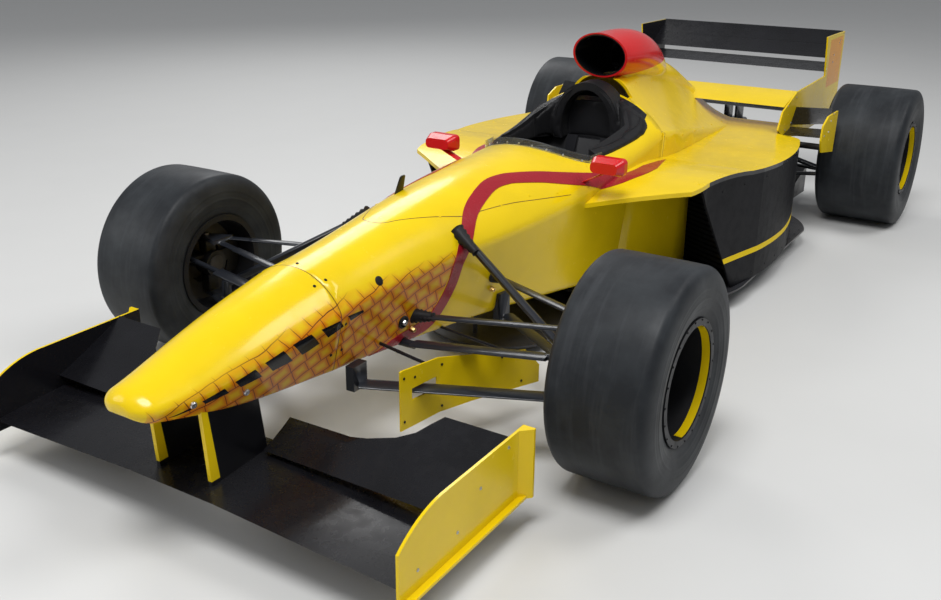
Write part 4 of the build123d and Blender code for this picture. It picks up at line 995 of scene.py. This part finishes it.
# the firm core under the soft cover fills the thin back of the head surround
core = copyOf("cockpit_padding")
sunkBy(core, padding["coreInset"])
put(meshOf(core, False), "paddingCore", blackLeather, 35)
print("padding made", len(softMesh.vertices))

# welted seams and their stitches, laid on the finished padding
welt = {"radius": 0.0016, "rise": 0.35, "reach": 0.12, "perSpan": 14, "stitch": 0.0046, "gap": 0.0075,
        "thread": 0.0006, "beside": 0.0050, "lift": 0.0002}
softSkin = surfaceOf(softMesh)


def stitchTree():
    tree = Growth("stitches", Length="Float", Thread="Float")
    bead = tree.make("GeometryNodeMeshUVSphere", values={"Segments": 6, "Rings": 4, "Radius": 1.0})
    thread = tree.given("Thread")
    size = tree.make("ShaderNodeCombineXYZ", values=[tree.given("Length") * 0.5, thread, thread])
    tree.scatter(tree.make("GeometryNodeTransform", values={"Geometry": bead, "Scale": size}), "X")
    return tree


stitchGrowth = stitchTree()


def weltMesh(path, radius):
    curve = bpy.data.curves.new("welt", "CURVE")
    curve.dimensions = "3D"
    curve.bevel_depth, curve.bevel_resolution = radius, 2
    curve.use_fill_caps = True
    line = curve.splines.new("POLY")
    line.points.add(len(path) - 1)
    for point, place in zip(line.points, path):
        point.co = (*place, 1.0)
    mesh = baked(held(curve))
    mesh.materials.clear()
    return mesh


weltLines = {
    "sideWelt": (((0.196, 1.015, 0.70), (0.218, 1.150, 0.70), (0.226, 1.260, 0.72), (0.234, 1.340, 0.74),
                  (0.222, 1.385, 0.76)), upright),
    "hoopWelt": (((0.0, 1.330, 0.812), (0.052, 1.330, 0.800), (0.094, 1.330, 0.768), (0.122, 1.330, 0.725),
                  (0.134, 1.330, 0.680)), (0, -1, 0)),
}
for label, (rows, facing) in weltLines.items():
    for sign, side in sides:
        path = smoothPath([spot(*row, sign) for row in rows], welt["perSpan"])
        landed = [landing(softSkin, p, Vector(facing), welt["reach"]) for p in path]
        line = [p + n * welt["radius"] * welt["rise"] for p, n in landed]
        put(weltMesh(line, welt["radius"]), label + "_" + side, blackLeather, 60)
        places, walked = [], 0.0
        for (before, _), (here, normal) in zip(landed, landed[1:]):
            walked += (here - before).length
            if walked >= welt["gap"]:
                walked = 0.0
                ahead = (here - before).normalized()
                beside = ahead.cross(normal).normalized() * welt["beside"]
                places += [(here + way + normal * welt["lift"], ahead) for way in (beside, -beside)]
        thread = stitchGrowth.grow(places, Length=welt["stitch"], Thread=welt["thread"],
                                   Finish=webbing.material)
        put(thread, label + "Stitches_" + side, webbing, 60, slotName="padding")
print("seams sewn")

# harness: flat webbing that follows the seat, and its buckle
harness = {
    "shoulder": (((0.075, 1.398, 0.600), (0.074, 1.372, 0.545), (0.072, 1.345, 0.470), (0.066, 1.315, 0.395),
                  (0.052, 1.282, 0.318), (0.028, 1.240, 0.262)), 0.046, (0, -0.85, 0.55)),
    "lap": (((0.215, 1.330, 0.255), (0.165, 1.285, 0.243), (0.105, 1.250, 0.240), (0.030, 1.226, 0.252)),
            0.046, (0, -0.25, 1)),
    "crotch": (((0.020, 1.120, 0.192), (0.022, 1.165, 0.192), (0.020, 1.205, 0.228)), 0.030, (0, -0.25, 1)),
}
webTape = {"crown": 0.0012, "above": 0.0012, "below": 0.0010, "lanes": (-1, -0.92, -0.5, 0, 0.5, 0.92, 1)}
for label, (rows, width, facing) in harness.items():
    up = Vector(facing)
    for sign, side in sides:
        path = smoothPath([spot(*row, sign) for row in rows], 6)
        tops, lows = [], []
        for point, ahead in zip(path, headings(path)):
            across = ahead.cross(up).normalized() * width / 2
            normal = across.cross(ahead).normalized()
            normal = normal if normal.dot(up) > 0 else -normal
            crowned = [point + across * share + normal * (webTape["crown"] * (1 - share * share))
                       for share in webTape["lanes"]]
            tops.append([p + normal * webTape["above"] for p in crowned])
            lows.append([p - normal * webTape["below"] for p in crowned])
        put(gridMesh(tops, lows), label + "Strap_" + side, webbing, 40)
buckle = [(-0.012, nearAxis), (-0.012, 0.030), (-0.006, 0.034), (0.006, 0.034), (0.010, 0.030), (0.010, 0.024),
          (0.014, 0.022), (0.016, 0.012), (0.016, nearAxis)]
put(turnedMesh(buckle, spot(0.0, 1.228, 0.262), Vector((0, -0.35, 1)), 40, False), "harnessBuckle",
    machinedMetal, 35)
print("harness laid")

# steering wheel: a gripped rim, a three-armed plate with blank switches, and its boss
wheelShape = {"centre": (0.0, 1.060, 0.505), "lean": 15.0, "radius": 0.122, "tube": 0.0128, "tubeCorners": 20,
              "plate": 0.0040, "plateBevel": 0.0012, "displayTop": 0.0075,
              "bossRadius": 0.021, "bossHalf": 0.020, "bossChamfer": 0.003, "bore": 0.01205}
lean = math.radians(wheelShape["lean"])
wheelAxis = spoke(lean)
wheelUp = Vector((0, -math.sin(lean), math.cos(lean)))
wheelCentre = spot(*wheelShape["centre"])
tube = [(wheelShape["tube"] * math.sin(a), wheelShape["radius"] + wheelShape["tube"] * math.cos(a))
        for a in turns(wheelShape["tubeCorners"])]
put(turnedMesh(tube, wheelCentre, wheelAxis, 96), "wheelGrip", gripSuede, 60, "steering_wheel",
    ("steering_wheel",))


def wheelPoint(u, v, w=0.0):
    return wheelCentre + Vector((u, 0, 0)) + wheelUp * v + wheelAxis * w


def plateMesh(outline, low, high):
    form = bmesh.new()
    face = form.faces.new([form.verts.new(wheelPoint(u, v, low)) for u, v in outline])
    push = bmesh.ops.extrude_face_region(form, geom=[face])["geom"]
    for vertex in (g for g in push if isinstance(g, bmesh.types.BMVert)):
        vertex.co += wheelAxis * (high - low)
    bmesh.ops.bevel(form, geom=form.edges[:], offset=wheelShape["plateBevel"], segments=2,
                    affect="EDGES", profile=0.6)
    return meshOf(form)


halfPlate = ((0.0, 0.050), (0.020, 0.060), (0.022, 0.112), (-0.022, 0.112), (-0.020, 0.060), (-0.050, 0.030),
             (-0.112, 0.018), (-0.112, -0.018), (-0.052, -0.030), (-0.030, -0.050))
plateOutline = list(halfPlate[1:]) + [(-u, v) for u, v in reversed(halfPlate[5:])]
bossEnd, bossRadius, bossCut = wheelShape["bossHalf"], wheelShape["bossRadius"], wheelShape["bossChamfer"]
boss = [(-bossEnd, wheelShape["bore"]), (-bossEnd, bossRadius), (bossEnd - bossCut, bossRadius),
        (bossEnd, bossRadius - bossCut), (bossEnd, wheelShape["bore"])]
knob = [(0.0030, nearAxis), (0.0030, 0.0075), (0.0080, 0.0068), (0.0105, 0.0050), (0.0105, nearAxis)]
display = ((0.026, 0.058), (-0.026, 0.058), (-0.026, 0.080), (0.026, 0.080))
plate = wheelShape["plate"]
put(plateMesh(plateOutline, -plate, plate), "wheelPlate", darkComposite, 30, "steering_wheel")
put(turnedMesh(boss, wheelCentre, wheelAxis, 40), "wheelBoss", machinedMetal, 35, "steering_wheel")
switches = (("Red", 0.062, buttonRed), ("Green", -0.062, buttonGreen), ("Black", 0.088, darkGlass))
for label, u, finish in switches:
    put(turnedMesh(knob, wheelPoint(u, 0.006), wheelAxis, 24, False), "wheelSwitch" + label, finish, 35,
        "steering_wheel")
put(plateMesh(display, plate, wheelShape["displayTop"]), "wheelDisplay", darkGlass, 30, "steering_wheel")

# the glossy hood that rolls over the dash, from side to side of the opening
hood = {"half": 0.205, "inside": 0.016, "crown": 0.640, "fall": 0.42, "thickness": 0.003, "steps": 28,
        "profile": ((0.872, 0.004), (0.905, 0.005), (0.940, 0.004), (0.968, 0.002), (0.988, -0.004),
                    (0.998, -0.014), (1.000, -0.026), (0.994, -0.036))}
rows, backs = [], []
for i in range(hood["steps"] + 1):
    line = []
    for s, z in hood["profile"]:
        reach = math.sqrt(screenArc["radius"] ** 2 - (screenArc["centre"] - s) ** 2) - hood["inside"]
        x = min(hood["half"], reach) * (2 * i / hood["steps"] - 1)
        line.append(spot(x, s, hood["crown"] - hood["fall"] * x * x + z))
    line = smoothPath(line, 3)
    rows.append(line)
    backs.append([p - Vector((0, hood["thickness"] * 0.6, hood["thickness"])) for p in line])
put(gridMesh(rows, backs), "dashHood", darkGlass, 40)

# dash: three blank round gauges and a row of toggles on each side of them
panel = {"station": 0.8545, "gauges": ((-0.085, 0.560, 0.024), (0.0, 0.567, 0.030), (0.085, 0.560, 0.024)),
         "toggle": (0.13, 0.8552, 0.525), "pitch": 0.018}
backwards = Vector((0, 1, 0))
for i, (x, z, radius) in enumerate(panel["gauges"]):
    bezel = [(0.0, nearAxis), (0.0, radius), (0.008, radius), (0.010, radius * 0.93), (0.010, radius * 0.84),
             (0.005, radius * 0.80), (0.005, nearAxis)]
    put(turnedMesh(bezel, spot(x, panel["station"], z), backwards, 36, False), "dashGauge%d" % i,
        darkGlass, 35)
first, station, height = panel["toggle"]
fasten("dashToggles", [(spot(first + panel["pitch"] * i, station, height, sign), backwards)
                       for sign, _ in sides for i in range(3)], machinedMetal, 0.0045, 0.014, 12, 0.1)
print("cockpit fitted")

# floor, light and camera
view = {
    "azimuth": 32.398, "elevation": 20.433, "roll": 0.348,
    "place": (1.7919, y(-2.3969), 1.5186),
    "focal": 1028.92 / 941 * 36.0, "shift": (8.90 / 941, -19.71 / 941),
}
lens = bpy.data.cameras.new("camera")
lens.sensor_width, lens.lens = 36.0, view["focal"]
lens.shift_x, lens.shift_y = view["shift"]
lens.clip_start, lens.clip_end = 0.05, 60.0
camera = held(lens, "camera")
camera.matrix_world = Matrix.Translation(view["place"])
for angle, axis in ((view["azimuth"], "Z"), (90.0 - view["elevation"], "X"), (view["roll"], "Z")):
    camera.matrix_world = camera.matrix_world @ Matrix.Rotation(math.radians(angle), 4, axis)
scene.camera = camera

studio = {"floorSize": 300.0, "floorColour": (0.62, 0.62, 0.61), "worldColour": (0.80, 0.82, 0.85),
          "worldStrength": 0.36}
ground = bmesh.new()
bmesh.ops.create_grid(ground, x_segments=1, y_segments=1, size=studio["floorSize"] / 2)
groundPiece = held(meshOf(ground, False), "ground")
groundFinish = Finish("paleFloor", Roughness=0.55)
groundFinish.paint(groundFinish.noise(3.0, 5.0), studio["floorColour"], darker(studio["floorColour"], 0.96))
groundPiece.data.materials.append(groundFinish.material)

world = bpy.data.worlds.new("studio")
world.use_nodes = True
background = world.node_tree.nodes["Background"].inputs
background["Color"].default_value = (*studio["worldColour"], 1.0)
background["Strength"].default_value = studio["worldStrength"]
scene.world = world

for name, place, aim, size, power in (
    ("keyLight", (1.0, -3.6, 6.6), (0.1, -0.3, 0.3), 3.0, 350.0),
    ("sideLight", (3.6, 1.6, 6.2), (0.2, 0.5, 0.4), 3.0, 165.0),
    ("backLight", (-4.5, 4.0, 5.0), (0.0, 0.5, 0.5), 3.5, 140.0),
    ("fillLight", (-5.0, -5.0, 3.5), (0.0, 0.0, 0.4), 4.0, 105.0),
):
    lamp = bpy.data.lights.new(name, "AREA")
    lamp.shape, lamp.size, lamp.energy = "DISK", size, power
    light = held(lamp, name)
    light.location = place
    light.rotation_euler = (Vector(aim) - Vector(place)).to_track_quat("-Z", "Y").to_euler()
scene.view_settings.view_transform = "Standard"
print("camera and light set")
